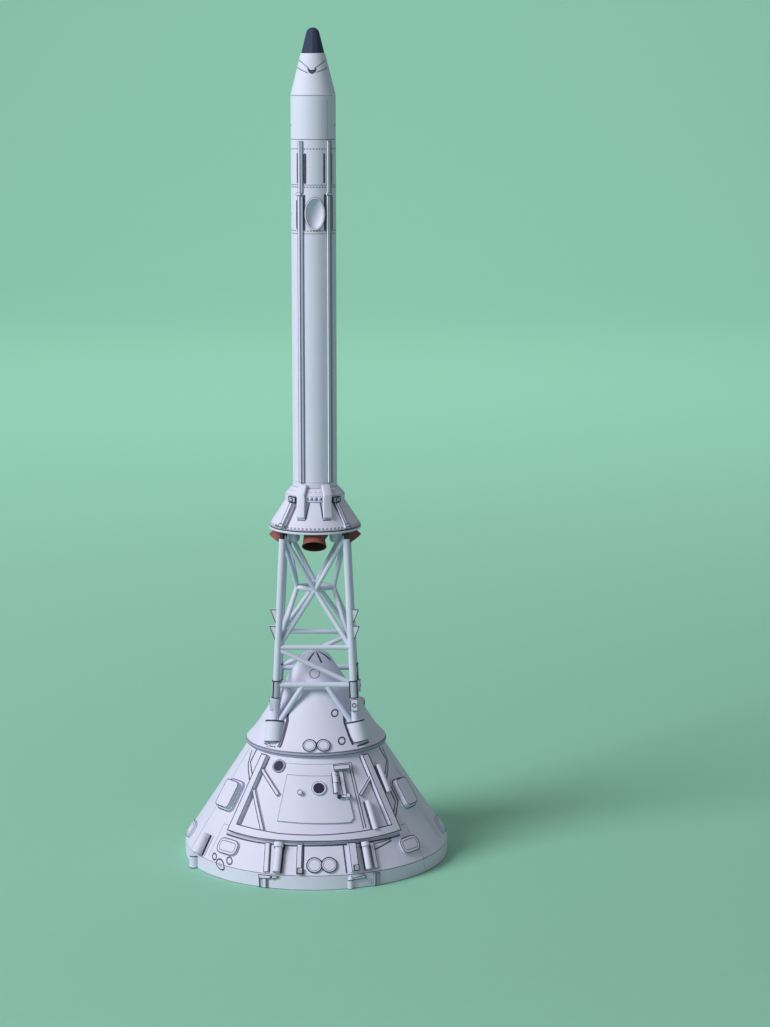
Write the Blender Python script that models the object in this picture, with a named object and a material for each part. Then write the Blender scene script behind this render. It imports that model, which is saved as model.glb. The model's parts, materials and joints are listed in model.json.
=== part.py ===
"""Card model of a conical crew capsule under its launch cover, with a lattice escape tower and its motor.

The origin is on the table under the centre of the base, +Z is up and the hatch faces -Y.
Azimuths are degrees round Z from the front, positive towards +X. Everything is glued card.
"""
import math
from collections import namedtuple

import bmesh
import bpy
from mathutils import Matrix, Vector

MM = 0.001
GAP = 0.05 * MM                  # glue line between neighbouring card pieces
WELD = 0.0005 * MM               # points closer than this are one point
COVER_SIDES = 64                 # flats round the capsule
SKIRT_SIDES = 48
TUBE_SIDES = 40
BAR_SIDES = 10
FACET_DEGREES = 6.0              # a wrapped card is creased at least this often

# Capsule: the lower cover stands on a base disc and a near-vertical rim
BASE_RADIUS = 20.45 * MM
BASE_CARD = 0.45 * MM
RIM_CARD = 0.45 * MM             # the rim stands on the table round the base disc
RIM_TOP = 2.2 * MM
COVER_TOP = 17.6 * MM
COVER_TOP_RADIUS = 10.4 * MM
CANISTER_AZIMUTH = -63.0         # short upright cylinder under the corner canister
CANISTER_REACH = 20.75 * MM
CANISTER_RADIUS = 0.72 * MM
BULLET_AZIMUTH = 15.8            # small pointed fitting that stands in front of the rim
BULLET_RADIUS = 0.42 * MM
BULLET_SHOULDER = 1.45 * MM
BULLET_TOP = 2.05 * MM
LIP_RADIUS = 10.83 * MM
LIP_TOP = 18.4 * MM
FLARE_TOP = 20.0 * MM            # the upper cover flares out to the lip below this height
FLARE_TOP_RADIUS = 9.35 * MM
DOME_FOOT = 31.2 * MM
DOME_FOOT_RADIUS = 2.1 * MM
DOME_TOP = 31.9 * MM

# Hatch and frame on the lower cover
FRAME_CARD = 0.6 * MM
RIB_CARD = 0.3 * MM
ROD_LIFT = 0.55 * MM             # centre line of the frame's rods above the skin
BARREL_LIFT = 0.63 * MM
BARREL_RADIUS = 0.38 * MM
PANEL_CARD = 0.15 * MM
KNOB_RADIUS = 0.42 * MM
KNOB_SPAN = (0.1 * MM, 0.75 * MM)
LATCH_KNOB_SPAN = (0.35 * MM, 0.8 * MM)
WINDOW_CARD = 0.15 * MM
PORT_CARD = 0.2 * MM

# Tower: four legs on a square that narrows upwards
LEG_RADIUS = 0.535 * MM
LEG_FOOT = 19.2 * MM
LEG_TOP = 50.25 * MM
LEG_HALF_SPACING_FOOT = 6.28 * MM
LEG_HALF_SPACING_TOP = 4.81 * MM
COLLAR_RADIUS = 0.41 * MM
BRACE_RADIUS = 0.36 * MM
CROSS_HEIGHT = 41.85 * MM        # where the braces of each face cross
CROSS_INSET = 2.8 * MM           # how far that crossing lies from the axis
LEG_COVER_RADIUS = 1.4 * MM
LEG_COVER_TOP = 22.3 * MM
LEG_COVER_FOOT = 19.1 * MM
LEG_COVER_REACH = 9.6 * MM       # foot of the cover's centre line from the axis
SLEEVE_RADIUS = 0.66 * MM
SLEEVE_SPAN = (25.9 * MM, 28.4 * MM)
LUG_SPAN = (23.9 * MM, 25.8 * MM)
LUG_HALF_WIDTH = 0.58 * MM
LUG_REACH = 0.85 * MM            # from the leg's centre line
SCOOP_TOPS = (39.5 * MM, 36.95 * MM)
SCOOP_REACH = 0.9 * MM           # from the leg's skin
SCOOP_LENGTH = 2.2 * MM
SCOOP_HALF_WIDTH = 0.35 * MM

# Skirt under the motor, with four canted nozzles
SKIRT_FLOOR = 51.2 * MM
SKIRT_RADIUS = 7.03 * MM
SKIRT_EDGE = 0.35 * MM           # thickness of the floor disc, whose white edge shows
SKIRT_FOOT = 51.75 * MM
SKIRT_FOOT_RADIUS = 6.98 * MM
SKIRT_TOP = 55.7 * MM
SKIRT_TOP_RADIUS = 4.45 * MM
FLANGE_RADIUS = 4.55 * MM
FLANGE_TOP = 56.6 * MM
FLARE_RADIUS = 3.95 * MM         # top of the collar's flare
FLARE_END = 57.2 * MM
NOZZLE_CANT = 33.0               # degrees from straight down
NOZZLE_EXIT_REACH = 5.45 * MM    # exit centre from the axis
NOZZLE_EXIT_HEIGHT = 49.13 * MM
NOZZLE_EXIT_RADIUS = 1.9 * MM
NOZZLE_NECK_RADIUS = 1.55 * MM
NOZZLE_LENGTH = 3.2 * MM
NOZZLE_WALL = 0.14 * MM
NOZZLE_MIDDLE_RADIUS = 1.62 * MM
NOZZLE_DEPTH = 1.3 * MM          # how deep the bell is hollow
HOUSING_REACH = 4.52 * MM        # round housings under the floor, between the nozzles
HOUSING_RADIUS = 0.95 * MM
HOUSING_SHOULDER = 50.15 * MM
HOUSING_FOOT = 49.4 * MM
STRUT_RADIUS = 0.32 * MM
STRUT_SPAN = (51.95 * MM, 55.4 * MM)
STUD_RADIUS = 0.24 * MM
STUD_HEIGHT = 56.3 * MM
PAD_THICKNESS = 0.5 * MM
PAD_HALF_WIDTH = 0.64 * MM
PAD_FOOT = 53.45 * MM
PAD_TOP = 58.3 * MM
PAD_FOOT_AZIMUTH = 19.3          # a pad runs straight down, so it turns in towards the front
PAD_TOP_AZIMUTH = 27.5
CLEAR = 20 * MM                  # more than any radius of the tower, for cutters

# Motor tube, from the collar to the nose
TUBE_RADIUS = 3.37 * MM
TUBE_FOOT = 57.75 * MM
DISH_FOOT = 96.1 * MM
DISH_TOP = 103.3 * MM
DISH_MIDDLE = 99.05 * MM
CONTROL_TOP = 110.0 * MM
NOSE_FOOT = 116.45 * MM
CAP_FOOT = 122.6 * MM
CONE_TOP_RADIUS = 1.84 * MM
CAP_RADIUS = 1.71 * MM
CAP_SHOULDER = 125.7 * MM
CAP_TOP = 126.3 * MM
MOTOR_TURN = 5.0                 # the glued motor sits this many degrees off the capsule's front

LEG_AZIMUTHS = (45.0, 135.0, 225.0, 315.0)

# name: colour, roughness
FINISHES = {
    "white_card": ((0.72, 0.73, 0.82), 0.62),
    "grey_card": ((0.42, 0.44, 0.52), 0.62),
    "navy_ink": ((0.03, 0.03, 0.07), 0.45),
    "cap_ink": ((0.035, 0.04, 0.075), 0.4),
    "red_brown": ((0.27, 0.075, 0.06), 0.6),
}


def clear_scene():
    for found in list(bpy.data.objects):
        bpy.data.objects.remove(found)


def finish_material(finish):
    if finish in bpy.data.materials:
        return bpy.data.materials[finish]
    colour, roughness = FINISHES[finish]
    made = bpy.data.materials.new(finish)
    made.use_nodes = True
    shader = made.node_tree.nodes["Principled BSDF"]
    shader.inputs["Base Color"].default_value = (*colour, 1.0)
    shader.inputs["Roughness"].default_value = roughness
    return made


def object_from(name, mesh_data, finish):
    """A named object with its own finish, from a bmesh or a mesh."""
    mesh = mesh_data
    if isinstance(mesh_data, bmesh.types.BMesh):
        bmesh.ops.remove_doubles(mesh_data, verts=mesh_data.verts, dist=WELD)
        bmesh.ops.recalc_face_normals(mesh_data, faces=mesh_data.faces)
        mesh = bpy.data.meshes.new(name)
        mesh_data.to_mesh(mesh)
        mesh_data.free()
    mesh.shade_smooth()
    mesh.set_sharp_from_angle(angle=math.radians(30.0))
    made = bpy.data.objects.new(name, mesh)
    made.data.materials.clear()
    made.data.materials.append(finish_material(finish))
    bpy.context.scene.collection.objects.link(made)
    return made


def combined(base, others, operation, solver="EXACT"):
    """Joins the others to the base, or cuts them from it, and deletes them."""
    for other in others:
        other.hide_render = True
        other.display_type = "WIRE"
        boolean = base.modifiers.new(other.name, "BOOLEAN")
        boolean.operation = operation
        boolean.solver = solver
        boolean.object = other
    bpy.context.view_layer.update()
    graph = bpy.context.evaluated_depsgraph_get()
    mesh = bpy.data.meshes.new_from_object(base.evaluated_get(graph))
    base.modifiers.clear()
    base.data = mesh
    for other in others:
        bpy.data.objects.remove(other)
    return base


def polar(radius, azimuth, height):
    turn = math.radians(azimuth)
    return Vector((radius * math.sin(turn), -radius * math.cos(turn), height))


# A conical skin between a foot and a top: card pieces are glued on it by azimuth and height
Skin = namedtuple("Skin", "foot_radius foot_height top_radius top_height")
LOWER_SKIN = Skin(BASE_RADIUS, RIM_TOP, COVER_TOP_RADIUS, COVER_TOP)
FLARE_SKIN = Skin(LIP_RADIUS, LIP_TOP, FLARE_TOP_RADIUS, FLARE_TOP)
SKIRT_SKIN = Skin(SKIRT_FOOT_RADIUS, SKIRT_FOOT, SKIRT_TOP_RADIUS, SKIRT_TOP)
TUBE_SKIN = Skin(TUBE_RADIUS, TUBE_FOOT, TUBE_RADIUS, NOSE_FOOT)


def slope(skin):
    """Half-angle of the skin, in radians from the vertical."""
    return math.atan2(skin.foot_radius - skin.top_radius, skin.top_height - skin.foot_height)


def skin_radius(skin, height):
    return skin.foot_radius - (height - skin.foot_height) * math.tan(slope(skin))


def on_skin(skin, azimuth, height, lift):
    """The point that lies a given distance out from the skin, square to it."""
    lean = slope(skin)
    radius = skin_radius(skin, height) + lift * math.cos(lean)
    return polar(radius, azimuth, height + lift * math.sin(lean))


def in_metres(places):
    """Places as azimuth and height, with the heights turned from millimetres into metres."""
    return [(azimuth, height * MM) for azimuth, height in places]


def from_sizes(skin, azimuth, height, corners):
    """Azimuths and heights of corners given in metres across and up the skin, as flat card."""
    lean = slope(skin)
    radius = skin_radius(skin, height)
    if lean == 0.0:
        return [(azimuth + math.degrees(x / radius), height + y) for x, y in corners]
    reach = radius / math.sin(lean)
    places = []
    for x, y in corners:
        turn = math.degrees(math.atan2(x, reach - y)) / math.sin(lean)
        rise = (reach - math.hypot(x, reach - y)) * math.cos(lean)
        places.append((azimuth + turn, height + rise))
    return places


def to_sizes(skin, azimuth, height, places):
    """The reverse of from_sizes: metres across and up from one place to others."""
    lean = slope(skin)
    radius = skin_radius(skin, height)
    if lean == 0.0:
        return [(math.radians(turn - azimuth) * radius, top - height) for turn, top in places]
    reach = radius / math.sin(lean)
    corners = []
    for turn, top in places:
        angle = math.radians(turn - azimuth) * math.sin(lean)
        length = skin_radius(skin, top) / math.sin(lean)
        corners.append((length * math.sin(angle), reach - length * math.cos(angle)))
    return corners


def rounded_box(width, length, corner, steps=3):
    """Corners of a rectangle with round corners, centred."""
    corners = []
    for quarter, (side, end) in enumerate(((1, 1), (-1, 1), (-1, -1), (1, -1))):
        for step in range(steps + 1):
            angle = math.radians(90.0 * (quarter + step / steps))
            x = side * (width / 2 - corner) + corner * math.cos(angle)
            y = end * (length / 2 - corner) + corner * math.sin(angle)
            corners.append((x, y))
    return corners


def disc_outline(radius, steps=16, squash=1.0):
    angles = [math.tau * step / steps for step in range(steps)]
    return [(radius * math.cos(angle), squash * radius * math.sin(angle)) for angle in angles]


def strip_outline(skin, start, end, width, steps=4):
    """A straight strip between two places, each an azimuth and a height."""
    run = Vector(to_sizes(skin, *start, [end])[0])
    side = Vector((-run.y, run.x)).normalized() * (width / 2)
    centres = [run * (step / steps) for step in range(steps + 1)]
    corners = [centre + side for centre in centres]
    corners += [centre - side for centre in reversed(centres)]
    return from_sizes(skin, *start, [tuple(corner) for corner in corners])


def wrapped(name, skin, outline, thickness, finish, lift=GAP):
    """A flat card cut to an outline of azimuths and heights, creased and bent round the skin."""
    bm = bmesh.new()
    # The blank is laid out in degrees and millimetres, so that both axes have like sizes
    bm.faces.new([bm.verts.new((azimuth, height / MM, 0.0)) for azimuth, height in outline])
    first = min(azimuth for azimuth, _ in outline)
    last = max(azimuth for azimuth, _ in outline)
    creases = math.ceil((last - first) / FACET_DEGREES)
    for crease in range(1, creases):
        bmesh.ops.bisect_plane(
            bm,
            geom=bm.verts[:] + bm.edges[:] + bm.faces[:],
            dist=1e-5,
            plane_co=(first + (last - first) * crease / creases, 0.0, 0.0),
            plane_no=(1.0, 0.0, 0.0),
        )
    raised = bmesh.ops.extrude_face_region(bm, geom=bm.faces[:])
    for vert in raised["geom"]:
        if isinstance(vert, bmesh.types.BMVert):
            vert.co.z = thickness / MM
    for vert in bm.verts:
        vert.co = on_skin(skin, vert.co.x, vert.co.y * MM, lift + vert.co.z * MM)
    return object_from(name, bm, finish)


def turned(name, profile, sides, finish, place=None):
    """A solid of revolution about Z from (radius, height) points, first and last on the axis."""
    bm = bmesh.new()
    verts = [bm.verts.new((radius, 0.0, height)) for radius, height in profile]
    edges = [bm.edges.new(pair) for pair in zip(verts, verts[1:])]
    if profile[0][0] > 0.0:
        edges.append(bm.edges.new((verts[-1], verts[0])))
    bmesh.ops.spin(
        bm,
        geom=verts + edges,
        cent=(0.0, 0.0, 0.0),
        axis=(0.0, 0.0, 1.0),
        angle=math.tau,
        steps=sides,
    )
    if place is not None:
        bm.transform(place)
    return object_from(name, bm, finish)


def disc_profile(radius, foot, top):
    return [(0.0, foot), (radius, foot), (radius, top), (0.0, top)]


def bar(name, start, end, radius, finish, sides=BAR_SIDES):
    """A round bar between two points."""
    run = Vector(end) - Vector(start)
    turn = run.to_track_quat("Z", "Y").to_matrix().to_4x4()
    bm = bmesh.new()
    bmesh.ops.create_cone(
        bm,
        cap_ends=True,
        segments=sides,
        radius1=radius,
        radius2=radius,
        depth=run.length,
        matrix=Matrix.Translation((Vector(start) + Vector(end)) / 2) @ turn,
    )
    return object_from(name, bm, finish)


def block(name, low, high, finish):
    """A box between two corners."""
    size = Vector(high) - Vector(low)
    centre = (Vector(high) + Vector(low)) / 2
    bm = bmesh.new()
    place = Matrix.Translation(centre) @ Matrix.Diagonal((*size, 1.0))
    bmesh.ops.create_cube(bm, size=1.0, matrix=place)
    return object_from(name, bm, finish)


def pushed(name, corners, push, finish):
    """A flat face from its corners, pushed out along a vector into a solid."""
    bm = bmesh.new()
    face = bm.faces.new([bm.verts.new(corner) for corner in corners])
    grown = bmesh.ops.extrude_face_region(bm, geom=[face])
    moved = [item for item in grown["geom"] if isinstance(item, bmesh.types.BMVert)]
    bmesh.ops.translate(bm, verts=moved, vec=push)
    return object_from(name, bm, finish)


def upper_cover_profile(grow=0.0):
    """Outline of the upper cover, or of a cutter that leaves a gap round it."""
    foot = LIP_TOP + GAP
    return [
        (0.0, foot - 2 * grow),
        (LIP_RADIUS - GAP + grow, foot - 2 * grow),
        (LIP_RADIUS - GAP + grow, foot + grow),
        (FLARE_TOP_RADIUS + grow, FLARE_TOP + grow),
        (DOME_FOOT_RADIUS + grow, DOME_FOOT + grow),
        (0.72 * DOME_FOOT_RADIUS + grow, DOME_FOOT + 0.6 * (DOME_TOP - DOME_FOOT) + grow),
        (0.36 * DOME_FOOT_RADIUS + grow, DOME_FOOT + 0.92 * (DOME_TOP - DOME_FOOT) + grow),
        (0.0, DOME_TOP + grow),
    ]


def capsule_shell():
    inside = BASE_RADIUS - RIM_CARD
    disc = disc_profile(inside - GAP, 0.0, BASE_CARD)
    turned("base_disc", disc, COVER_SIDES, "white_card")
    rim = turned("rim_band", [
        (0.0, BASE_CARD + GAP),
        (inside, BASE_CARD + GAP),
        (inside, 0.0),
        (BASE_RADIUS, 0.0),
        (BASE_RADIUS, RIM_TOP - GAP),
        (0.0, RIM_TOP - GAP),
    ], COVER_SIDES, "white_card")
    bullet_place = Matrix.Translation(polar(BASE_RADIUS, BULLET_AZIMUTH, 0.0))
    bullet = turned("bullet_tool", [
        (0.0, 0.0),
        (BULLET_RADIUS, 0.0),
        (BULLET_RADIUS, BULLET_SHOULDER),
        (0.0, BULLET_TOP),
    ], 12, "white_card", bullet_place)
    canister_place = Matrix.Translation(polar(CANISTER_REACH, CANISTER_AZIMUTH, 0.0))
    canister_profile = disc_profile(CANISTER_RADIUS, 0.0, RIM_TOP - 2 * GAP)
    canister = turned("canister_tool", canister_profile, 16, "white_card", canister_place)
    combined(rim, [bullet, canister], "UNION")
    turned("lower_cover", [
        (0.0, RIM_TOP),
        (BASE_RADIUS, RIM_TOP),
        (COVER_TOP_RADIUS, COVER_TOP),
        (0.0, COVER_TOP),
    ], COVER_SIDES, "white_card")
    turned("cover_lip", disc_profile(LIP_RADIUS, COVER_TOP + GAP, LIP_TOP), COVER_SIDES, "grey_card")
    turned("upper_cover", upper_cover_profile(), COVER_SIDES, "white_card")


def hatch_and_frame():
    """The raised frame round the hatch, with its ribs, and what is glued inside it."""
    outline = in_metres((
        (-46.6, 17.2), (-46.6, 6.5), (-27.5, 6.36), (1.3, 6.45), (27.5, 6.36),
        (46.6, 6.5), (46.6, 17.2), (40.0, 17.2), (41.7, 7.6), (25.7, 7.5),
        (1.3, 7.38), (-17.6, 7.4), (-25.7, 7.53), (-41.9, 7.67), (-40.0, 17.2),
    ))
    frame = wrapped("hatch_frame", LOWER_SKIN, outline, FRAME_CARD, "white_card")
    # name, start and end as azimuth and height, width
    ribs = (
        ("rib_upper_left", (-41.3, 15.33), (-22.45, 12.33), 0.62),
        ("rib_lower_left", (-41.2, 12.5), (-26.3, 7.4), 0.63),
        ("rib_right", (41.15, 14.16), (29.05, 12.07), 0.57),
    )
    pieces = []
    for name, start, end, width in ribs:
        rib = strip_outline(LOWER_SKIN, *in_metres((start, end)), width * MM)
        pieces.append(wrapped(name, LOWER_SKIN, rib, RIB_CARD, "white_card", 1.4 * GAP))
    # name, start and end as azimuth and height, radius
    rods = (
        ("inner_rod", (32.3, 11.2), (32.0, 7.4), 0.48),
        ("frame_rod", (51.1, 15.4), (49.5, 11.7), 0.5),
    )
    for name, start, end, radius in rods:
        ends = [on_skin(LOWER_SKIN, *place, ROD_LIFT) for place in in_metres((start, end))]
        bar(name, *ends, radius * MM, "white_card")
    combined(frame, pieces + [bpy.data.objects["inner_rod"]], "UNION")

    panel = in_metres(((-19.9, 15.2), (-19.9, 9.0), (19.8, 8.8), (22.4, 9.3), (21.4, 15.1)))
    hatch = wrapped("hatch_panel", LOWER_SKIN, panel, PANEL_CARD, "white_card")
    knob_ends = [on_skin(LOWER_SKIN, -8.6, 12.83 * MM, lift) for lift in KNOB_SPAN]
    combined(hatch, [bar("knob_tool", *knob_ends, KNOB_RADIUS, "white_card", 16)], "UNION")
    on_hatch = PANEL_CARD + 2 * GAP
    # name, azimuth, height, radius, lift
    windows = (
        ("hatch_window", 3.2, 13.47, 1.1, on_hatch),
        ("corner_window", -28.1, 16.14, 1.05, GAP),
    )
    for name, azimuth, height, radius, lift in windows:
        window = from_sizes(LOWER_SKIN, azimuth, height * MM, disc_outline(radius * MM))
        wrapped(name, LOWER_SKIN, window, WINDOW_CARD, "navy_ink", lift)

    # name, azimuth, height, width, length, corner, thickness, lift in gaps above the hatch
    cards = (
        ("hatch_latch", 21.6, 16.04, 2.95, 1.25, 0.15, 0.25, 0.0),
        ("box_tool", 20.1, 15.97, 2.5, 0.8, 0.1, 0.55, 0.4),
        ("arm_tool", 19.25, 12.2, 1.9, 0.5, 0.2, 0.3, 0.4),
        ("plate_tool", 19.25, 14.0, 0.75, 4.05, 0.1, 0.15, 0.8),
    )
    latch = []
    for name, azimuth, height, width, length, corner, thickness, lift in cards:
        shape = rounded_box(width * MM, length * MM, corner * MM)
        card = from_sizes(LOWER_SKIN, azimuth, height * MM, shape)
        made = wrapped(name, LOWER_SKIN, card, thickness * MM, "white_card", on_hatch + lift * GAP)
        latch.append(made)
    barrel = in_metres(((14.2, 15.75), (13.7, 12.6)))
    barrel_ends = [on_skin(LOWER_SKIN, *place, BARREL_LIFT) for place in barrel]
    latch.append(bar("barrel_tool", *barrel_ends, BARREL_RADIUS, "white_card"))
    knob_ends = [on_skin(LOWER_SKIN, 20.8, 12.25 * MM, lift) for lift in LATCH_KNOB_SPAN]
    latch.append(bar("latch_knob_tool", *knob_ends, KNOB_RADIUS, "white_card", 16))
    combined(latch[0], latch[1:], "UNION")


def cover_boxes():
    """Closed boxes and oval covers glued on the lower cover."""
    # name, azimuth, height, shift sideways, width, length, corner, thickness
    boxes = (
        ("side_box_left", -51.0, 10.8, -2.15, 4.3, 5.5, 0.9, 0.3),
        ("left_box_tool", -52.1, 10.85, -1.8, 3.6, 4.4, 0.7, 1.05),
        ("side_box_right", 56.9, 10.75, 1.95, 3.9, 5.25, 0.9, 0.3),
        ("right_box_tool", 57.6, 10.9, 1.6, 3.2, 4.4, 0.7, 1.05),
        ("rim_cover_left", -43.0, 4.59, 0.0, 4.1, 2.45, 1.0, 0.35),
        ("rim_cover_right", 49.1, 4.53, 0.0, 3.95, 2.5, 1.0, 0.35),
        ("flank_cover_left", -83.0, 3.9, 0.0, 3.6, 2.6, 1.0, 0.35),
        ("flank_cover_right", 88.0, 4.15, 0.0, 3.6, 2.6, 1.0, 0.35),
    )
    for name, azimuth, height, shift, width, length, corner, thickness in boxes:
        shape = rounded_box(width * MM, length * MM, corner * MM)
        corners = [(x + shift * MM, y) for x, y in shape]
        outline = from_sizes(LOWER_SKIN, azimuth, height * MM, corners)
        wrapped(name, LOWER_SKIN, outline, thickness * MM, "white_card")
    for side in ("left", "right"):
        base = bpy.data.objects[f"side_box_{side}"]
        combined(base, [bpy.data.objects[f"{side}_box_tool"]], "UNION")


def port_pairs():
    """Two round ports side by side, on the lower cover and on the upper cover's flare."""
    # name, skin, azimuths, height, radius
    pairs = (
        ("rim_port_pair", LOWER_SKIN, (0.6, 7.0), 3.55, 1.22),
        ("lip_port_pair", FLARE_SKIN, (-4.1, 7.8), 19.28, 1.07),
    )
    for name, skin, azimuths, height, radius in pairs:
        discs = []
        for number, azimuth in enumerate(azimuths):
            outline = from_sizes(skin, azimuth, height * MM, disc_outline(radius * MM))
            lift = GAP * (1.0 + 0.4 * number)
            thickness = PORT_CARD + 0.4 * lift
            discs.append(wrapped(f"{name}_{number}", skin, outline, thickness, "white_card", lift))
        combined(discs[0], discs[1:], "UNION").name = name


def rim_fittings():
    """Straps, canisters and feet that run down the lower cover over the rim."""
    # name, top and foot as azimuth and height, width, thickness
    straps = (
        ("left_strap", (-22.25, 6.1), (-20.05, 2.35), 0.8, 0.25),
        ("centre_strip", (-6.45, 6.2), (-5.9, 2.4), 0.8, 0.3),
        ("right_rod", (18.2, 6.1), (17.7, 2.45), 1.15, 0.7),
        ("right_strap", (28.3, 5.9), (27.3, 2.5), 0.72, 0.3),
    )
    for name, start, end, width, thickness in straps:
        outline = strip_outline(LOWER_SKIN, *in_metres((start, end)), width * MM)
        wrapped(name, LOWER_SKIN, outline, thickness * MM, "white_card")
    # name, top and foot as azimuth and height, radius
    canisters = (
        ("left_canister", (-15.7, 5.7), (-15.0, 2.4), 0.6),
        ("left_cap_tool", (-15.85, 6.1), (-15.8, 5.5), 0.75),
        ("right_canister", (24.2, 5.5), (23.65, 2.5), 0.5),
        ("right_cap_tool", (24.3, 5.95), (24.25, 5.4), 0.62),
        ("corner_canister", (-59.75, 5.1), (-58.5, 2.3), 0.75),
    )
    for name, start, end, radius in canisters:
        lift = radius * MM + GAP
        ends = [on_skin(LOWER_SKIN, *place, lift) for place in in_metres((start, end))]
        bar(name, *ends, radius * MM, "white_card", 14)
    for side in ("left", "right"):
        canister = bpy.data.objects[f"{side}_canister"]
        combined(canister, [bpy.data.objects[f"{side}_cap_tool"]], "UNION")


def leg_half_spacing(height):
    share = (height - LEG_FOOT) / (LEG_TOP - LEG_FOOT)
    return LEG_HALF_SPACING_FOOT + share * (LEG_HALF_SPACING_TOP - LEG_HALF_SPACING_FOOT)


def leg_point(height, side_x=1, side_y=-1):
    """The centre of a leg at a height. The plain call is the front right leg."""
    spacing = leg_half_spacing(height)
    return Vector((side_x * spacing, side_y * spacing, height))


def leg_tools(radius, foot, top):
    """Cutters that clear all four legs."""
    return [
        bar("leg_tool", leg_point(foot, x, y), leg_point(top, x, y), radius, "white_card", 20)
        for x, y in ((1, -1), (1, 1), (-1, 1), (-1, -1))
    ]


def cover_tool():
    return turned("cover_tool", upper_cover_profile(GAP * 1.3), COVER_SIDES, "white_card")


def turned_copy(name, first, degrees):
    copy = bpy.data.objects.new(name, first.data)
    copy.rotation_euler.z = math.radians(degrees)
    bpy.context.scene.collection.objects.link(copy)


def quarter_turns(name, first):
    """Four like pieces from the first one, turned round the axis."""
    first.name = f"{name}_1"
    for number in (2, 3, 4):
        turned_copy(f"{name}_{number}", first, 90.0 * (number - 1))


def tower_legs():
    """Each leg with its sleeve, its bolted lug and the thin collar under the skirt."""
    # name, foot, top, radius, sides
    bars = (
        ("tower_leg", LEG_FOOT, LEG_TOP, LEG_RADIUS, 16),
        ("sleeve", *SLEEVE_SPAN, SLEEVE_RADIUS, 16),
        ("collar", LEG_TOP - MM, SKIRT_FLOOR - GAP, COLLAR_RADIUS, 12),
    )
    pieces = [
        bar(name, leg_point(foot), leg_point(top), radius, "white_card", sides)
        for name, foot, top, radius, sides in bars
    ]
    middle = leg_point(sum(LUG_SPAN) / 2)
    lug_low = (middle.x - LUG_HALF_WIDTH, middle.y - LUG_REACH, LUG_SPAN[0])
    lug_high = (middle.x + LUG_HALF_WIDTH, middle.y, LUG_SPAN[1])
    pieces.append(block("lug", lug_low, lug_high, "white_card"))
    leg = combined(pieces[0], pieces[1:], "UNION")
    combined(leg, [cover_tool()], "DIFFERENCE")
    quarter_turns("tower_leg", leg)


def leg_scoops():
    """Two small scoops on the outer side of each front leg, joined to those legs."""
    inside = 0.3 * MM
    for leg_name, side in (("tower_leg_1", 1), ("tower_leg_4", -1)):
        leg = bpy.data.objects[leg_name]
        leg.data = leg.data.copy()
        # Legs are turned copies, so the mesh is first brought to where the scoops are
        leg.data.transform(leg.matrix_basis)
        leg.matrix_basis = Matrix.Identity(4)
        profile = (
            (inside, 0.0),
            (LEG_RADIUS + SCOOP_REACH, 0.0),
            (LEG_RADIUS + GAP, -SCOOP_LENGTH),
            (inside, -SCOOP_LENGTH),
        )
        scoops = []
        for top in SCOOP_TOPS:
            start = leg_point(top, side)
            corners = [start + Vector((side * x, -SCOOP_HALF_WIDTH, z)) for x, z in profile]
            push = (0.0, 2 * SCOOP_HALF_WIDTH, 0.0)
            scoops.append(pushed("scoop", corners, push, "white_card"))
        combined(leg, scoops, "UNION")


def tower_faces():
    """The braces between two legs, mitred at the corners so that each face is its own piece."""
    cross = Vector((0.0, -CROSS_INSET, CROSS_HEIGHT))
    ring_end = Vector((CROSS_INSET, 0.0, CROSS_HEIGHT))
    bars = []
    for side in (1, -1):
        bars.append((leg_point(50.8 * MM, side), cross, BRACE_RADIUS))
        bars.append((leg_point(33.35 * MM, side), cross, BRACE_RADIUS))
        bars.append((cross, Vector((side * ring_end.x, 0.0, ring_end.z)), BRACE_RADIUS))
        knee = Vector((side * 1.8 * MM, -leg_half_spacing(27.8 * MM), 27.7 * MM))
        bars.append((knee, leg_point(20.9 * MM, side), 0.4 * MM))
    bars.append((leg_point(33.6 * MM, -1), leg_point(33.6 * MM, 1), BRACE_RADIUS))
    bars.append((leg_point(33.3 * MM, -1), leg_point(27.9 * MM, 1), BRACE_RADIUS))
    bars.append((leg_point(27.8 * MM, -1), leg_point(27.8 * MM, 1), 0.45 * MM))
    pieces = [
        bar(f"brace_{number}", start, end, radius, "white_card", 8)
        for number, (start, end, radius) in enumerate(bars)
    ]
    # EXACT leaves open edges where a brace meets two others at the leg, and MANIFOLD doesn't
    face = combined(pieces[0], pieces[1:], "UNION", "MANIFOLD")

    # A wedge with its edge on the axis keeps this face clear of its neighbours
    start = -GAP * math.sqrt(0.5)
    corners = ((0.0, start, 0.0), (-CLEAR, start - CLEAR, 0.0), (CLEAR, start - CLEAR, 0.0))
    wedge = pushed("wedge", corners, (0.0, 0.0, SKIRT_TOP), "white_card")
    combined(face, [wedge], "INTERSECT", "MANIFOLD")
    # radius, foot and top of what each brace stops at round the legs
    stops = (
        (LEG_RADIUS, LEG_FOOT - MM, LEG_TOP + MM),
        (SLEEVE_RADIUS, SLEEVE_SPAN[0] - GAP, SLEEVE_SPAN[1] + GAP),
        (LEG_COVER_RADIUS + GAP, LEG_FOOT - MM, LEG_COVER_TOP + 8 * GAP),
    )
    for radius, foot, top in stops:
        combined(face, leg_tools(radius + GAP, foot, top), "DIFFERENCE", "MANIFOLD")
    combined(face, [cover_tool()], "DIFFERENCE", "MANIFOLD")
    quarter_turns("tower_face", face)


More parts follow.
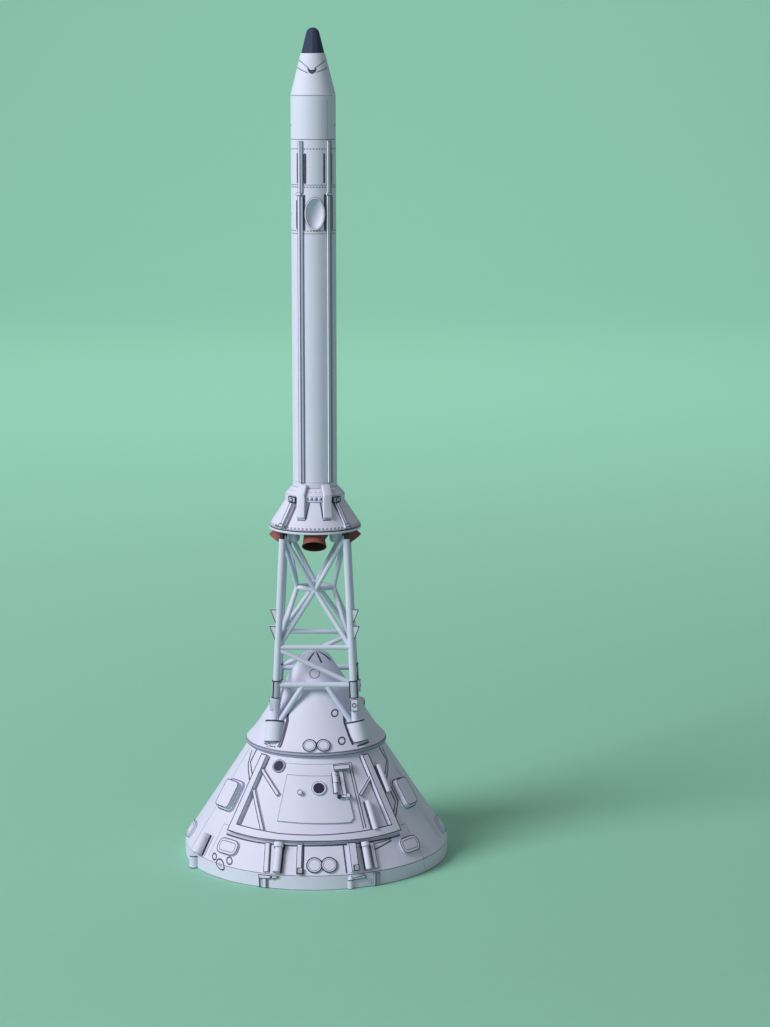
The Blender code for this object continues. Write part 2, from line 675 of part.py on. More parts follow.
def leg_covers():
    """Round shells that close the upper cover round each leg's foot and lean out to the lip."""
    # name, side of the leg, azimuth of the foot, name of the like cover at the back
    covers = (
        ("leg_cover_1", 1, 45.0, "leg_cover_3"),
        ("leg_cover_4", -1, -41.0, "leg_cover_2"),
    )
    for name, side, azimuth, twin in covers:
        foot = polar(LEG_COVER_REACH, azimuth, LEG_COVER_FOOT)
        top = leg_point(LEG_COVER_TOP, side)
        cover = bar(name, foot, top, LEG_COVER_RADIUS, "white_card", 20)
        combined(cover, [cover_tool()], "DIFFERENCE")
        combined(cover, leg_tools(LEG_RADIUS + GAP, LEG_FOOT - MM, LEG_TOP), "DIFFERENCE")
        turned_copy(twin, cover, 180.0)


def nozzles():
    """Four hollow bells, each trimmed by the floor that it hangs under."""
    exit_place = Matrix.Translation((0.0, -NOZZLE_EXIT_REACH, NOZZLE_EXIT_HEIGHT))
    place = exit_place @ Matrix.Rotation(-math.radians(NOZZLE_CANT), 4, "X")
    bell = turned("nozzle", [
        (0.0, NOZZLE_LENGTH),
        (NOZZLE_NECK_RADIUS, NOZZLE_LENGTH),
        (NOZZLE_MIDDLE_RADIUS, NOZZLE_DEPTH),
        (NOZZLE_EXIT_RADIUS, 0.0),
        (NOZZLE_EXIT_RADIUS - NOZZLE_WALL, 0.0),
        (NOZZLE_MIDDLE_RADIUS - NOZZLE_WALL, NOZZLE_DEPTH),
        (0.0, NOZZLE_DEPTH + 2 * GAP),
    ], 24, "red_brown", place)
    low = (-CLEAR, -CLEAR, SKIRT_FLOOR - GAP)
    high = (CLEAR, CLEAR, SKIRT_FLOOR + CLEAR)
    combined(bell, [block("floor_tool", low, high, "white_card")], "DIFFERENCE")
    quarter_turns("nozzle", bell)


def skirt_floor():
    """The floor disc with the nozzles' round housings under it."""
    floor_profile = disc_profile(SKIRT_RADIUS, SKIRT_FLOOR, SKIRT_FLOOR + SKIRT_EDGE)
    floor = turned("skirt_floor", floor_profile, SKIRT_SIDES, "white_card")
    depth = HOUSING_SHOULDER - HOUSING_FOOT
    ball = []
    for angle in (0, 25, 50, 75, 90):
        lean = math.radians(angle)
        ball.append((HOUSING_RADIUS * math.sin(lean), HOUSING_SHOULDER - depth * math.cos(lean)))
    sunk = SKIRT_FLOOR + 0.5 * SKIRT_EDGE
    ball += [(HOUSING_RADIUS, sunk), (0.0, sunk)]
    housings = []
    for azimuth in LEG_AZIMUTHS:
        place = Matrix.Translation(polar(HOUSING_REACH, azimuth, 0.0))
        housings.append(turned("housing", ball, 14, "white_card", place))
    combined(floor, housings, "UNION")


def skirt_cone():
    """The cone over the floor, with a strut down it above each leg."""
    foot = SKIRT_FLOOR + SKIRT_EDGE + GAP
    cone = turned("skirt_cone", [
        (0.0, foot),
        (SKIRT_FOOT_RADIUS, foot),
        (SKIRT_FOOT_RADIUS, SKIRT_FOOT),
        (SKIRT_TOP_RADIUS, SKIRT_TOP),
        (0.0, SKIRT_TOP),
    ], SKIRT_SIDES, "white_card")
    struts = []
    for azimuth in LEG_AZIMUTHS:
        ends = [on_skin(SKIRT_SKIN, azimuth, height, 2 * GAP) for height in STRUT_SPAN]
        struts.append(bar("strut", *ends, STRUT_RADIUS, "white_card"))
    combined(cone, struts, "UNION")


def skirt_collar():
    """The flange and flare between the skirt and the motor tube, with its studs."""
    collar = turned("skirt_collar", [
        (0.0, SKIRT_TOP + GAP),
        (FLANGE_RADIUS, SKIRT_TOP + GAP),
        (FLANGE_RADIUS, FLANGE_TOP),
        (FLARE_RADIUS, FLARE_END),
        (TUBE_RADIUS + 2 * GAP, TUBE_FOOT - GAP),
        (0.0, TUBE_FOOT - GAP),
    ], SKIRT_SIDES, "white_card")
    reaches = (FLANGE_RADIUS - 0.3 * MM, FLANGE_RADIUS + 0.22 * MM)
    studs = []
    for azimuth in (-8.5, 0.0, 8.5, 171.5, 180.0, 188.5):
        ends = [polar(reach, azimuth, STUD_HEIGHT) for reach in reaches]
        studs.append(bar("stud", *ends, STUD_RADIUS, "white_card", 8))
    combined(collar, studs, "UNION")


def skirt_pads():
    """Four bent plates that bridge from the motor tube over the flange to the skirt."""
    foot_radius = skin_radius(SKIRT_SKIN, PAD_FOOT)
    # radius and height, up the front from the skirt and down the back from the tube
    profile = (
        (foot_radius + 1.5 * GAP, PAD_FOOT),
        (foot_radius + 0.8 * PAD_THICKNESS, PAD_FOOT + 0.3 * MM),
        (FLANGE_RADIUS + PAD_THICKNESS, SKIRT_TOP + 0.5 * MM),
        (FLANGE_RADIUS + PAD_THICKNESS, FLANGE_TOP + 0.3 * MM),
        (TUBE_RADIUS + PAD_THICKNESS, PAD_TOP),
        (TUBE_RADIUS + 3 * GAP, PAD_TOP),
        (TUBE_RADIUS + 3 * GAP, TUBE_FOOT + 3 * GAP),
        (FLANGE_RADIUS + 1.5 * GAP, FLANGE_TOP + 2 * GAP),
        (FLANGE_RADIUS + 1.5 * GAP, SKIRT_TOP + 4 * GAP),
    )
    corners = [Vector((-PAD_HALF_WIDTH, -radius, height)) for radius, height in profile]
    # azimuth of the pair, side of the pair
    places = ((0.0, -1), (0.0, 1), (180.0, -1), (180.0, 1))
    for number, (middle, side) in enumerate(places, start=1):
        pad = pushed(f"skirt_pad_{number}", corners, (2 * PAD_HALF_WIDTH, 0.0, 0.0), "white_card")
        for vert in pad.data.vertices:
            share = (vert.co.z - PAD_FOOT) / (PAD_TOP - PAD_FOOT)
            azimuth = PAD_FOOT_AZIMUTH + share * (PAD_TOP_AZIMUTH - PAD_FOOT_AZIMUTH)
            vert.co = Matrix.Rotation(math.radians(middle + side * azimuth), 3, "Z") @ vert.co


def motor():
    """The motor tube, its two upper sections, the nose section and the pointed nose."""
    # name, foot, top, top radius
    sections = (
        ("motor_tube", TUBE_FOOT, DISH_FOOT - GAP, TUBE_RADIUS),
        ("dish_section", DISH_FOOT, DISH_TOP - GAP, TUBE_RADIUS),
        ("control_section", DISH_TOP, CONTROL_TOP - GAP, TUBE_RADIUS),
        ("nose_section", CONTROL_TOP, NOSE_FOOT - GAP, TUBE_RADIUS),
        ("nose_cone", NOSE_FOOT, CAP_FOOT - GAP, CONE_TOP_RADIUS),
    )
    for name, foot, top, top_radius in sections:
        profile = [(0.0, foot), (TUBE_RADIUS, foot), (top_radius, top), (0.0, top)]
        turned(name, profile, TUBE_SIDES, "white_card")
    turned("nose_cap", [
        (0.0, CAP_FOOT),
        (CAP_RADIUS, CAP_FOOT),
        (0.55 * CAP_RADIUS, CAP_SHOULDER),
        (0.18 * CAP_RADIUS, CAP_TOP),
        (0.0, CAP_TOP),
    ], 12, "cap_ink")


def dishes():
    """The two scooped oval outlets, front and back, sunk in the dish section behind a thin rim."""
    section = bpy.data.objects["dish_section"]
    rim = disc_outline(1.6 * MM, 24, 1.58)
    size = Matrix.Diagonal((1.42, 1.0, 2.25, 1.0))
    rims = []
    scoops = []
    for azimuth in (MOTOR_TURN, 180.0 + MOTOR_TURN):
        outline = from_sizes(TUBE_SKIN, azimuth, DISH_MIDDLE, rim)
        rims.append(wrapped("rim_tool", TUBE_SKIN, outline, 6 * GAP, "white_card", -3 * GAP))
        place = Matrix.Translation(polar(TUBE_RADIUS + 2 * GAP, azimuth, DISH_MIDDLE)) @ size
        bm = bmesh.new()
        bmesh.ops.create_uvsphere(bm, u_segments=20, v_segments=12, radius=MM, matrix=place)
        scoops.append(object_from("scoop_tool", bm, "white_card"))
    combined(section, rims, "UNION")
    combined(section, scoops, "DIFFERENCE")


def rails():
    """Four conduits glued down the motor, each a long lower length and a short upper one."""
    # name, azimuth
    places = (
        ("rail_front_left", -38.0),
        ("rail_front_right", 38.0),
        ("rail_back_right", 142.0),
        ("rail_back_left", 218.0),
    )
    for name, azimuth in places:
        turn = azimuth + MOTOR_TURN
        lower = strip_outline(TUBE_SKIN, (turn, TUBE_FOOT + 0.8 * MM), (turn, 102.0 * MM), 0.75 * MM)
        upper = strip_outline(TUBE_SKIN, (turn, 101.8 * MM), (turn, 109.75 * MM), 0.66 * MM)
        head = from_sizes(TUBE_SKIN, turn, 101.9 * MM, rounded_box(1.05 * MM, 0.5 * MM, 0.1 * MM))
        rail = wrapped(name, TUBE_SKIN, lower, 0.3 * MM, "white_card")
        combined(rail, [
            wrapped("upper_tool", TUBE_SKIN, upper, 0.24 * MM, "white_card", 1.4 * GAP),
            wrapped("head_tool", TUBE_SKIN, head, 0.36 * MM, "white_card", 1.8 * GAP),
        ], "UNION")


def main():
    clear_scene()
    capsule_shell()
    hatch_and_frame()
    cover_boxes()
    port_pairs()
    rim_fittings()
    tower_legs()
    leg_scoops()
    tower_faces()
    leg_covers()
    skirt_floor()
    skirt_cone()
    skirt_collar()
    nozzles()
    skirt_pads()
    motor()
    dishes()
    rails()


main()
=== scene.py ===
"""Looks of the card model: printed, cut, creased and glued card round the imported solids.

Lengths in the tables are millimetres, azimuths are degrees round Z from the front (-Y).
"""

import json
from collections import namedtuple
from math import atan2, ceil, cos, degrees, hypot, radians, sin, tan, tau

import bpy
from mathutils import Matrix, Vector

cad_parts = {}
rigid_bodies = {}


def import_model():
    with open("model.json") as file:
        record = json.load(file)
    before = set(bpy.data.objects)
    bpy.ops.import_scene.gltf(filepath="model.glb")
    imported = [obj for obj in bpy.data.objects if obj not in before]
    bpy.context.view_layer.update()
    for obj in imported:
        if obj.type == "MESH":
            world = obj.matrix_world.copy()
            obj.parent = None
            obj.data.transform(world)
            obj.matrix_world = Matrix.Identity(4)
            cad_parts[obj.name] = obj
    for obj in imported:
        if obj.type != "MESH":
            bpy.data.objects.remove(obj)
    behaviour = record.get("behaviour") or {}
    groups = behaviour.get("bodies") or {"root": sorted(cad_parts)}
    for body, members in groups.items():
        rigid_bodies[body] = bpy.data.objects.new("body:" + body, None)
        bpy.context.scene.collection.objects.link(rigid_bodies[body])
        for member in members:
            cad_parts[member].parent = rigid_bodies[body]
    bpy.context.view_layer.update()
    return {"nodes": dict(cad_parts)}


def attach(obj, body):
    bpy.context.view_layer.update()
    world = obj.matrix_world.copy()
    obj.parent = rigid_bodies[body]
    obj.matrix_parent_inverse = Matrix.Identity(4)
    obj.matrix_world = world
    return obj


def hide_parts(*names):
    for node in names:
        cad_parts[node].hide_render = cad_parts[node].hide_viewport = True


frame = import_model()

MM = 0.001
GAP = 0.05               # glue line between card pieces
MERGE = 0.0001           # corners closer than this are one
SMOOTH = 32.0            # edges sharper than this stay sharp, in degrees
ROUND = 128              # flats round the capsule's shells
TUBE_SIDES = 96
CREASE = 4.0             # a wrapped card is creased about this often, in degrees
LINE = 0.16              # an ordinary printed outline
INK_EDGE = 0.05          # how softly a printed line ends
INK_WOBBLE = 0.03        # how far a printed line strays

# A conical skin that card is glued on, from its foot to its top
Skin = namedtuple("Skin", "foot_radius foot top_radius top")
RIM = Skin(20.45, 0.0, 20.45, 2.15)
COVER = Skin(20.45, 2.2, 10.4, 17.6)
UPPER = Skin(9.35, 20.0, 2.1, 31.2)
FLARE = Skin(10.83, 18.4, 9.35, 20.0)
SKIRT = Skin(6.98, 51.75, 4.45, 55.7)
FLANGE = Skin(4.55, 55.75, 4.55, 56.6)
TUBE = Skin(3.37, 57.75, 3.37, 116.45)
NOSE = Skin(3.37, 116.45, 1.84, 122.6)
MOTOR_TURN = 5.0         # the glued motor sits this many degrees off the capsule's front

LEG_FOOT = (6.28, 19.2)  # half the legs' spacing, and height
LEG_TOP = (4.81, 50.25)
LEG_RADIUS = 0.535
QUARTERS = (0.0, 90.0, 180.0, 270.0)
DIAGONALS = (45.0, 135.0, -135.0, -45.0)


def slope(skin):
    """Half-angle of the skin from the vertical, in radians."""
    return atan2(skin.foot_radius - skin.top_radius, skin.top - skin.foot)


def skin_radius(skin, height):
    return skin.foot_radius - (height - skin.foot) * tan(slope(skin))


def polar(radius, azimuth, height):
    turn = radians(azimuth)
    return Vector((radius * sin(turn), -radius * cos(turn), height)) * MM


def on_skin(skin, azimuth, height, lift=0.0):
    lean = slope(skin)
    radius = skin_radius(skin, height) + lift * cos(lean)
    return polar(radius, azimuth, height + lift * sin(lean))


def unroll(skin, azimuth, height, places):
    """Corners on the flat card, measured from one place, of places on the skin."""
    lean = slope(skin)
    radius = skin_radius(skin, height)
    if lean == 0.0:
        return [(radians(turn - azimuth) * radius, top - height) for turn, top in places]
    reach = radius / sin(lean)
    corners = []
    for turn, top in places:
        angle = radians(turn - azimuth) * sin(lean)
        length = skin_radius(skin, top) / sin(lean)
        corners.append((length * sin(angle), reach - length * cos(angle)))
    return corners


def roll(skin, azimuth, height, x, y):
    """The reverse of unroll for one corner: its azimuth and height."""
    lean = slope(skin)
    radius = skin_radius(skin, height)
    if lean == 0.0:
        return azimuth + degrees(x / radius), height + y
    reach = radius / sin(lean)
    turn = degrees(atan2(x, reach - y)) / sin(lean)
    return azimuth + turn, height + (reach - hypot(x, reach - y)) * cos(lean)


def print_place(skin, azimuth, height):
    """Where a place on the skin lies in the printing's coordinates."""
    across = radians(azimuth) * skin_radius(skin, height)
    return Vector((across, height / cos(slope(skin))))


class Field:
    """A value, colour or vector over a surface: a node's output, with arithmetic on values."""

    def __init__(self, socket):
        self.socket = socket

    def node(self, kind, settings, inputs, output=0):
        """A new node: its settings are made first, then its sockets get values or links."""
        tree = self.socket.id_data
        made = tree.nodes.new(kind)
        for key, value in settings.items():
            setattr(made, key, value)
        for key, value in inputs.items():
            if isinstance(value, Field):
                tree.links.new(value.socket, made.inputs[key])
            else:
                made.inputs[key].default_value = value
        return Field(made.outputs[output])

    def maths(self, operation, *inputs):
        return self.node("ShaderNodeMath", {"operation": operation}, dict(enumerate(inputs)))

    def vector(self, operation, second, output=0):
        settings = {"operation": operation}
        return self.node("ShaderNodeVectorMath", settings, {0: self, 1: second}, output)

    def scaled(self, vector, factor):
        settings = {"operation": "SCALE"}
        return self.node("ShaderNodeVectorMath", settings, {0: vector, "Scale": factor})

    def axis(self, name):
        return self.node("ShaderNodeSeparateXYZ", {}, {0: self}, name)

    def held(self):
        """The value kept between 0 and 1, by a Clamp node, which is light on the renderer."""
        return self.node("ShaderNodeClamp", {}, {0: self})

    def __add__(self, other):
        return self.maths("ADD", self, other)

    __radd__ = __add__

    def __sub__(self, other):
        return self.maths("SUBTRACT", self, other)

    def __rsub__(self, other):
        return self.maths("SUBTRACT", other, self)

    def __mul__(self, other):
        return self.maths("MULTIPLY", self, other)

    __rmul__ = __mul__

    def most(self, other):
        return self.maths("MAXIMUM", self, other)

    def least(self, other):
        return self.maths("MINIMUM", self, other)

    def under(self, limit):
        """1 where the value is below the limit, with a soft edge."""
        return self.maths("MULTIPLY_ADD", self, -1.0 / INK_EDGE, limit / INK_EDGE + 0.5).held()

    def over(self, limit, soft):
        return self.maths("MULTIPLY_ADD", self, 1.0 / soft, 0.5 - limit / soft).held()

    def mixed(self, first, second):
        """A colour between two, by this value."""
        settings = {"data_type": "RGBA", "clamp_factor": True}
        # the colours go to sockets 6 and 7 and come out of output 2
        return self.node("ShaderNodeMix", settings, {0: self, 6: first, 7: second}, 2)

    def noise(self, scale, detail=2.0, output=0):
        """Noise over this place, as a value, or as a colour from output 1."""
        inputs = {"Vector": self, "Scale": scale, "Detail": detail}
        return self.node("ShaderNodeTexNoise", {}, inputs, output)


WHITE = (0.67, 0.70, 0.85, 1.0)
WARM_WHITE = (0.62, 0.645, 0.765, 1.0)
LAVENDER = (0.38, 0.38, 0.52, 1.0)
BLUE_GREY = (0.29, 0.31, 0.38, 1.0)
INK = (0.022, 0.022, 0.045, 1.0)
INK_WORN = (0.050, 0.052, 0.085, 1.0)
ROD_WHITE = (0.63, 0.68, 0.82, 1.0)
ROD_GREY = (0.56, 0.605, 0.73, 1.0)
GREY = (0.46, 0.51, 0.60, 1.0)
DARK_GREY = (0.37, 0.41, 0.48, 1.0)
LIP_GREY = (0.50, 0.53, 0.69, 1.0)
DARK_LIP_GREY = (0.40, 0.42, 0.56, 1.0)

# Scales of the noise, in waves a metre
FIBRE = 9000.0
FLECK = 5200.0
WEAR = 2600.0
GRAIN = 1800.0
FELT = 1300.0
SHEEN = 900.0
WANDER = 700.0
BLOTCH = 420.0
CLOUD = 260.0


def finish(name, paint):
    """A named material whose colour, roughness and bump come from a painting function."""
    made = bpy.data.materials.new(name)
    made.use_nodes = True
    shader = made.node_tree.nodes["Principled BSDF"]
    shader.inputs["Specular IOR Level"].default_value = 0.3
    place = Field(shader.outputs[0]).node("ShaderNodeTexCoord", {}, {}, "Object")
    for socket, value in paint(place).items():
        made.node_tree.links.new(value.socket, shader.inputs[socket])
    return made


def fibrous(place, colour, roughness, strength=0.35):
    """What a finish feeds its shader, with the bump of the card's fibres and felt side."""
    height = place.noise(FIBRE, 3.0) * 0.6 + place.noise(FELT)
    inputs = {"Strength": strength, "Distance": 0.03 * MM, "Height": height}
    bump = place.node("ShaderNodeBump", {}, inputs)
    return {"Base Color": colour, "Roughness": roughness, "Normal": bump}


def card_colour(place, base, other):
    """Card that is cloudy on a broad scale and flecked on a fine one."""
    mottle = place.noise(CLOUD, 3.0) * 0.75 + place.noise(FLECK) * 0.45 - 0.25
    return mottle.mixed(base, other)


def plain_card(base=WHITE, other=WARM_WHITE):
    def paint(place):
        return fibrous(place, card_colour(place, base, other), place.noise(SHEEN) * 0.16 + 0.54)

    return paint


def unrolled(place, skin):
    """The printing's coordinates in millimetres, with its small unevenness."""
    measured = place.scaled(place, 1.0 / MM)
    x, y, z = (measured.axis(name) for name in "XYZ")
    azimuth = place.maths("ARCTAN2", x, 0.0 - y)
    radius = skin.foot_radius - (z - skin.foot) * tan(slope(skin))
    across = azimuth * radius.least(max(skin.foot_radius, skin.top_radius) + 0.6)
    up = z * (1.0 / cos(slope(skin)))
    flat = place.node("ShaderNodeCombineXYZ", {}, {0: across, 1: up})
    stray = place.noise(WANDER, 1.0, 1).vector("SUBTRACT", (0.5, 0.5, 0.5))
    stray = stray.vector("MULTIPLY", (2.0 * INK_WOBBLE, 2.0 * INK_WOBBLE, 0.0))
    return flat.vector("ADD", stray)


def from_line(flat, start, end):
    """How far the unrolled card's places lie from a straight line."""
    run = end - start
    offset = flat.vector("SUBTRACT", (*start, 0.0))
    share = offset.vector("DOT_PRODUCT", (*(run / run.length_squared), 0.0), "Value").held()
    return offset.vector("DISTANCE", share.scaled((*run, 0.0), share), "Value")


def from_ring(flat, centre, radius):
    away = flat.vector("DISTANCE", (*centre, 0.0), "Value")
    return flat.maths("ABSOLUTE", away - radius)


def drawn(flat, skin, lines, rings=()):
    """All the marks of one ink layer. Marks of one width and strength share one edge."""
    marks = {}
    for width, strength, *places in lines:
        points = [print_place(skin, *place) for place in places]
        for start, end in zip(points, points[1:]):
            marks.setdefault((width, strength), []).append((from_line, start, end))
    for width, strength, azimuth, height, radius in rings:
        place = print_place(skin, azimuth, height)
        marks.setdefault((width, strength), []).append((from_ring, place, radius))
    layer = None
    for (width, strength), group in marks.items():
        nearest = None
        for measure, *shape in group:
            away = measure(flat, *shape)
            nearest = away if nearest is None else nearest.least(away)
        mask = nearest.under(width / 2) * strength
        layer = mask if layer is None else layer.most(mask)
    return layer


def ringed(flat, skin, rings):
    """Marks that run right round: width, strength, height, and dashes a millimetre or 0."""
    x, y = (flat.axis(name) for name in "XY")
    layer = None
    for width, strength, height, dashes in rings:
        up = height / cos(slope(skin))
        mask = flat.maths("ABSOLUTE", y - up).under(width / 2) * strength
        if dashes:
            mask = mask * flat.maths("SINE", x * (tau * dashes)).over(0.0, 0.8)
        layer = mask if layer is None else layer.most(mask)
    return layer


def printed(place, ink, shade, base, other):
    """Card with a shade layer and an ink layer, worn thin here and there."""
    wear = place.noise(WEAR)
    colour = card_colour(place, base, other)
    # painted shade, in lavender, wherever the shade layer lies
    if shade:
        colour = (shade * (wear * 0.3 + 0.75)).mixed(colour, LAVENDER)
    dark = wear.mixed(INK, INK_WORN)
    colour = (ink * (wear * 0.3 + 0.82)).mixed(colour, dark)
    return fibrous(place, colour, 0.6 - ink * 0.12 + place.noise(SHEEN) * 0.08)


# Lower cover. Lines: width, strength, then places as azimuth and height
COVER_LINES = (
    # second line of the band under the frame's foot
    (0.24, 1.0, (-47.7, 6.09), (-33.0, 6.0), (-17.0, 6.0), (1.3, 6.1), (24.0, 6.08),
     (46.0, 6.04)),
    # bent strips beside the frame
    (0.28, 1.0, (-59.3, 17.46), (-58.7, 15.78), (-48.7, 14.17)),
    (0.28, 1.0, (-65.6, 17.04), (-60.2, 15.4), (-49.4, 13.5)),
    (0.28, 1.0, (69.1, 17.34), (68.7, 15.61), (56.7, 13.96)),
    (0.28, 1.0, (74.0, 17.04), (70.1, 15.39), (55.7, 13.28)),
    (0.28, 1.0, (54.3, 12.04), (54.2, 10.3), (48.2, 8.92)),
    (0.28, 1.0, (57.1, 12.18), (56.7, 10.3), (48.2, 8.35)),
    # seams down the cover's flanks
    (0.1, 0.7, (-72.1, 17.2), (-71.9, 13.0), (-69.8, 8.5), (-69.5, 2.47)),
    (0.1, 0.7, (80.5, 16.7), (73.7, 8.5), (75.2, 3.45)),
    (0.1, 0.7, (75.2, 14.5), (76.3, 12.7), (77.4, 7.9), (76.9, 3.3)),
    # thin rectangles beside the rim covers
    (0.1, 0.55, (-49.3, 7.22), (-53.1, 7.19), (-53.0, 2.68)),
    (0.1, 0.55, (48.3, 7.28), (53.4, 7.17), (53.2, 5.89)),
    (0.1, 0.55, (54.3, 3.51), (54.3, 0.28)),
    (0.1, 0.55, (-23.2, 16.68), (0.0, 16.7), (14.0, 16.7)),
    # hinge strip
    (0.16, 0.95, (27.5, 15.5), (26.6, 7.9)),
    (0.18, 0.95, (29.5, 15.5), (28.0, 7.95)),
    # rib under the frame's right foot
    (0.16, 0.95, (28.8, 5.67), (40.1, 5.93)),
    (0.26, 0.95, (29.0, 4.94), (39.7, 5.69)),
    # shaded sides of the canisters and strips
    (0.26, 0.95, (-4.6, 6.2), (-4.2, 2.5)),
    (0.26, 0.95, (14.4, 5.9), (14.3, 2.5)),
    (0.16, 0.95, (-20.6, 5.9), (-18.6, 2.4)),
    (0.14, 0.9, (-56.2, 5.2), (-55.7, 2.4)),
    # dark edge along the inner sides of the frame
    (0.16, 0.95, (-39.5, 17.0), (-41.1, 7.85)),
    (0.16, 0.95, (39.5, 17.1), (41.2, 7.75)),
)
# Rings: width, strength, azimuth, height, radius
COVER_RINGS = (
    (0.24, 1.0, -49.0, 2.91, 0.47),
    (0.24, 1.0, -39.5, 2.97, 0.54),
    (0.24, 1.0, -43.9, 2.12, 0.85),
    (0.36, 0.35, -43.9, 2.12, 0.22),
)
# Painted shade: a band under the frame's bottom beam and a short strip by the rim's feet; width,
# strength, then places
COVER_SHADES = (
    (0.4, 0.7, (-48.0, 6.26), (-24.0, 6.2), (0.0, 6.26), (24.0, 6.26), (46.0, 6.26)),
    (0.5, 0.6, (25.0, 1.0), (25.0, 0.2)),
)
# Lines right round: width, strength, height, dashes a millimetre
COVER_ROUND = (
    (0.12, 0.8, 2.2, 0),
    # a painted contact shadow round the rim's foot, where it meets the floor
    (0.12, 0.8, 0.04, 0),
)

TUBE_LINES = (
    (0.1, 0.4, (39.9, 110.2), (39.9, 115.9)),
    # ribbed slots beside the rails
    (0.39, 1.0, (-42.4, 103.7), (-42.4, 107.8)),
    (0.5, 1.0, (-20.5, 103.7), (-20.5, 107.7)),
    (0.32, 1.0, (30.0, 103.7), (30.0, 107.8)),
    (0.45, 1.0, (54.0, 103.6), (54.0, 107.8)),
    (0.45, 1.0, (-45.0, 96.9), (-45.0, 100.9)),
    (0.36, 1.0, (-22.5, 96.8), (-22.5, 101.7)),
    (0.45, 1.0, (32.5, 96.7), (32.5, 101.8)),
    (0.45, 1.0, (55.5, 96.8), (55.5, 101.5)),
    # pin heads
    (0.24, 1.0, (72.0, 112.0), (72.0, 112.06)),
    (0.24, 1.0, (-76.0, 112.0), (-76.0, 112.06)),
    (0.24, 1.0, (73.0, 98.94), (73.0, 99.0)),
    (0.24, 1.0, (-76.0, 98.94), (-76.0, 99.0)),
)
TUBE_ROUND = (
    (0.08, 0.55, 110.0, 0),
    (0.08, 0.55, 103.3, 0),
    (0.08, 0.55, 96.1, 0),
    (0.08, 0.45, 116.38, 0),
    (0.2, 0.85, 108.59, 2.2),
    (0.2, 0.85, 102.97, 2.2),
    (0.2, 0.85, 96.51, 2.2),
    (0.08, 0.3, 58.6, 0),
)
NOSE_LINES = (
    (0.3, 1.0, (-14.5, 120.25), (-9.5, 119.85), (-1.2, 119.65), (7.0, 119.85), (11.5, 120.25)),
    (0.3, 1.0, (-9.5, 120.0), (7.0, 120.0)),
    (0.14, 0.9, (-13.9, 120.38), (-45.5, 121.2), (-75.5, 121.6)),
    (0.14, 0.9, (8.5, 120.38), (60.1, 121.53)),
    (0.14, 0.9, (-17.1, 119.71), (-55.5, 120.3), (-75.5, 120.5)),
    (0.14, 0.9, (13.8, 119.77), (64.2, 120.48)),
)
UPPER_LINES = (
    (0.24, 1.0, (-39.8, 23.2), (-35.2, 23.2), (-32.9, 22.0), (-32.1, 18.9)),
    (0.34, 1.0, (-35.0, 23.35), (-31.5, 22.3), (-30.0, 18.9)),
    (0.5, 1.0, (-40.0, 23.1), (-36.5, 23.2)),
    (0.42, 1.0, (41.8, 23.15), (37.0, 23.2), (34.4, 22.1), (35.0, 19.2)),
    (0.5, 1.0, (42.0, 23.1), (39.0, 23.2)),
    (0.14, 0.9, (36.9, 22.7), (36.9, 19.1)),
    (0.28, 1.0, (-14.0, 31.7), (-25.9, 30.78)),
    (0.28, 1.0, (10.0, 31.75), (21.4, 30.53)),
    (0.28, 1.0, (40.0, 31.75), (63.7, 30.62)),
    (0.1, 0.8, (-60.0, 31.75), (-69.0, 31.0)),
    # broken line with dots at the foot of each front leg cover
    (0.16, 0.95, (-47.2, 18.9), (-44.0, 18.85)),
    (0.16, 0.95, (-39.5, 18.75), (-36.5, 18.75)),
    (0.26, 0.95, (-35.0, 18.8), (-34.6, 18.8)),
    (0.26, 0.95, (38.2, 18.8), (52.0, 18.95)),
)
UPPER_RINGS = (
    (0.18, 0.7, -1.5, 29.0, 0.75),
    (0.24, 1.0, 25.5, 23.51, 0.53),
    (0.24, 1.0, 25.6, 19.75, 0.53),
    (0.1, 0.9, -42.0, 18.85, 0.25),
)
SKIRT_LINES = (
    (0.5, 0.9, (-35.6, 55.6), (-38.6, 52.0)),
    (0.5, 0.9, (40.4, 55.4), (45.2, 52.0)),
    (0.24, 0.95, (-9.5, 55.6), (-12.2, 53.4)),
    (0.24, 0.95, (12.5, 55.6), (13.4, 53.5)),
    (0.2, 0.9, (-24.5, 53.25), (-13.0, 53.25)),
    (0.2, 0.9, (13.6, 53.25), (25.0, 53.25)),
    (0.3, 0.9, (-60.5, 52.05), (-53.0, 52.05)),
)
SKIRT_ROUND = (
    (0.1, 0.8, 51.84, 0),
    (0.3, 0.7, 52.05, 1.6),
)
FLANGE_LINES = (
    (0.4, 0.95, (-11.0, 56.28), (13.0, 56.28)),
)
FLANGE_ROUND = (
    (0.07, 0.5, 56.62, 0),
    (0.12, 0.35, 57.2, 1.2),
)
LIP_ROUND = (
    (0.12, 0.95, 17.92, 0),
    (0.1, 0.8, 18.32, 0),
    (0.34, 0.5, 18.1, 3.0),
)


def print_paint(skin, lines=(), rings=(), shades=(), around=(), base=WHITE, other=WARM_WHITE):
    """A painting function for a printed skin."""
    def paint(place):
        flat = unrolled(place, skin)
        layers = []
        if lines or rings:
            layers.append(drawn(flat, skin, lines, rings))
        if around:
            layers.append(ringed(flat, skin, around))
        ink = layers[0] if len(layers) == 1 else layers[0].most(layers[1])
        shade = drawn(flat, skin, shades) if shades else None
        return printed(place, ink, shade, base, other)

    return paint


def ink_paint(place):
    colour = place.noise(WEAR).mixed(INK, INK_WORN)
    return fibrous(place, colour, place.noise(SHEEN) * 0.2 + 0.4, 0.2)


def coloured(dark, light, low, high):
    """A painting function between two colours and two roughnesses."""
    def paint(place):
        clouds = place.noise(BLOTCH)
        mottle = place.noise(GRAIN, 4.0) * 0.8 + clouds * 0.5 - 0.2
        colour = mottle.mixed((*dark, 1.0), (*light, 1.0))
        return fibrous(place, colour, clouds * (high - low) + low)

    return paint


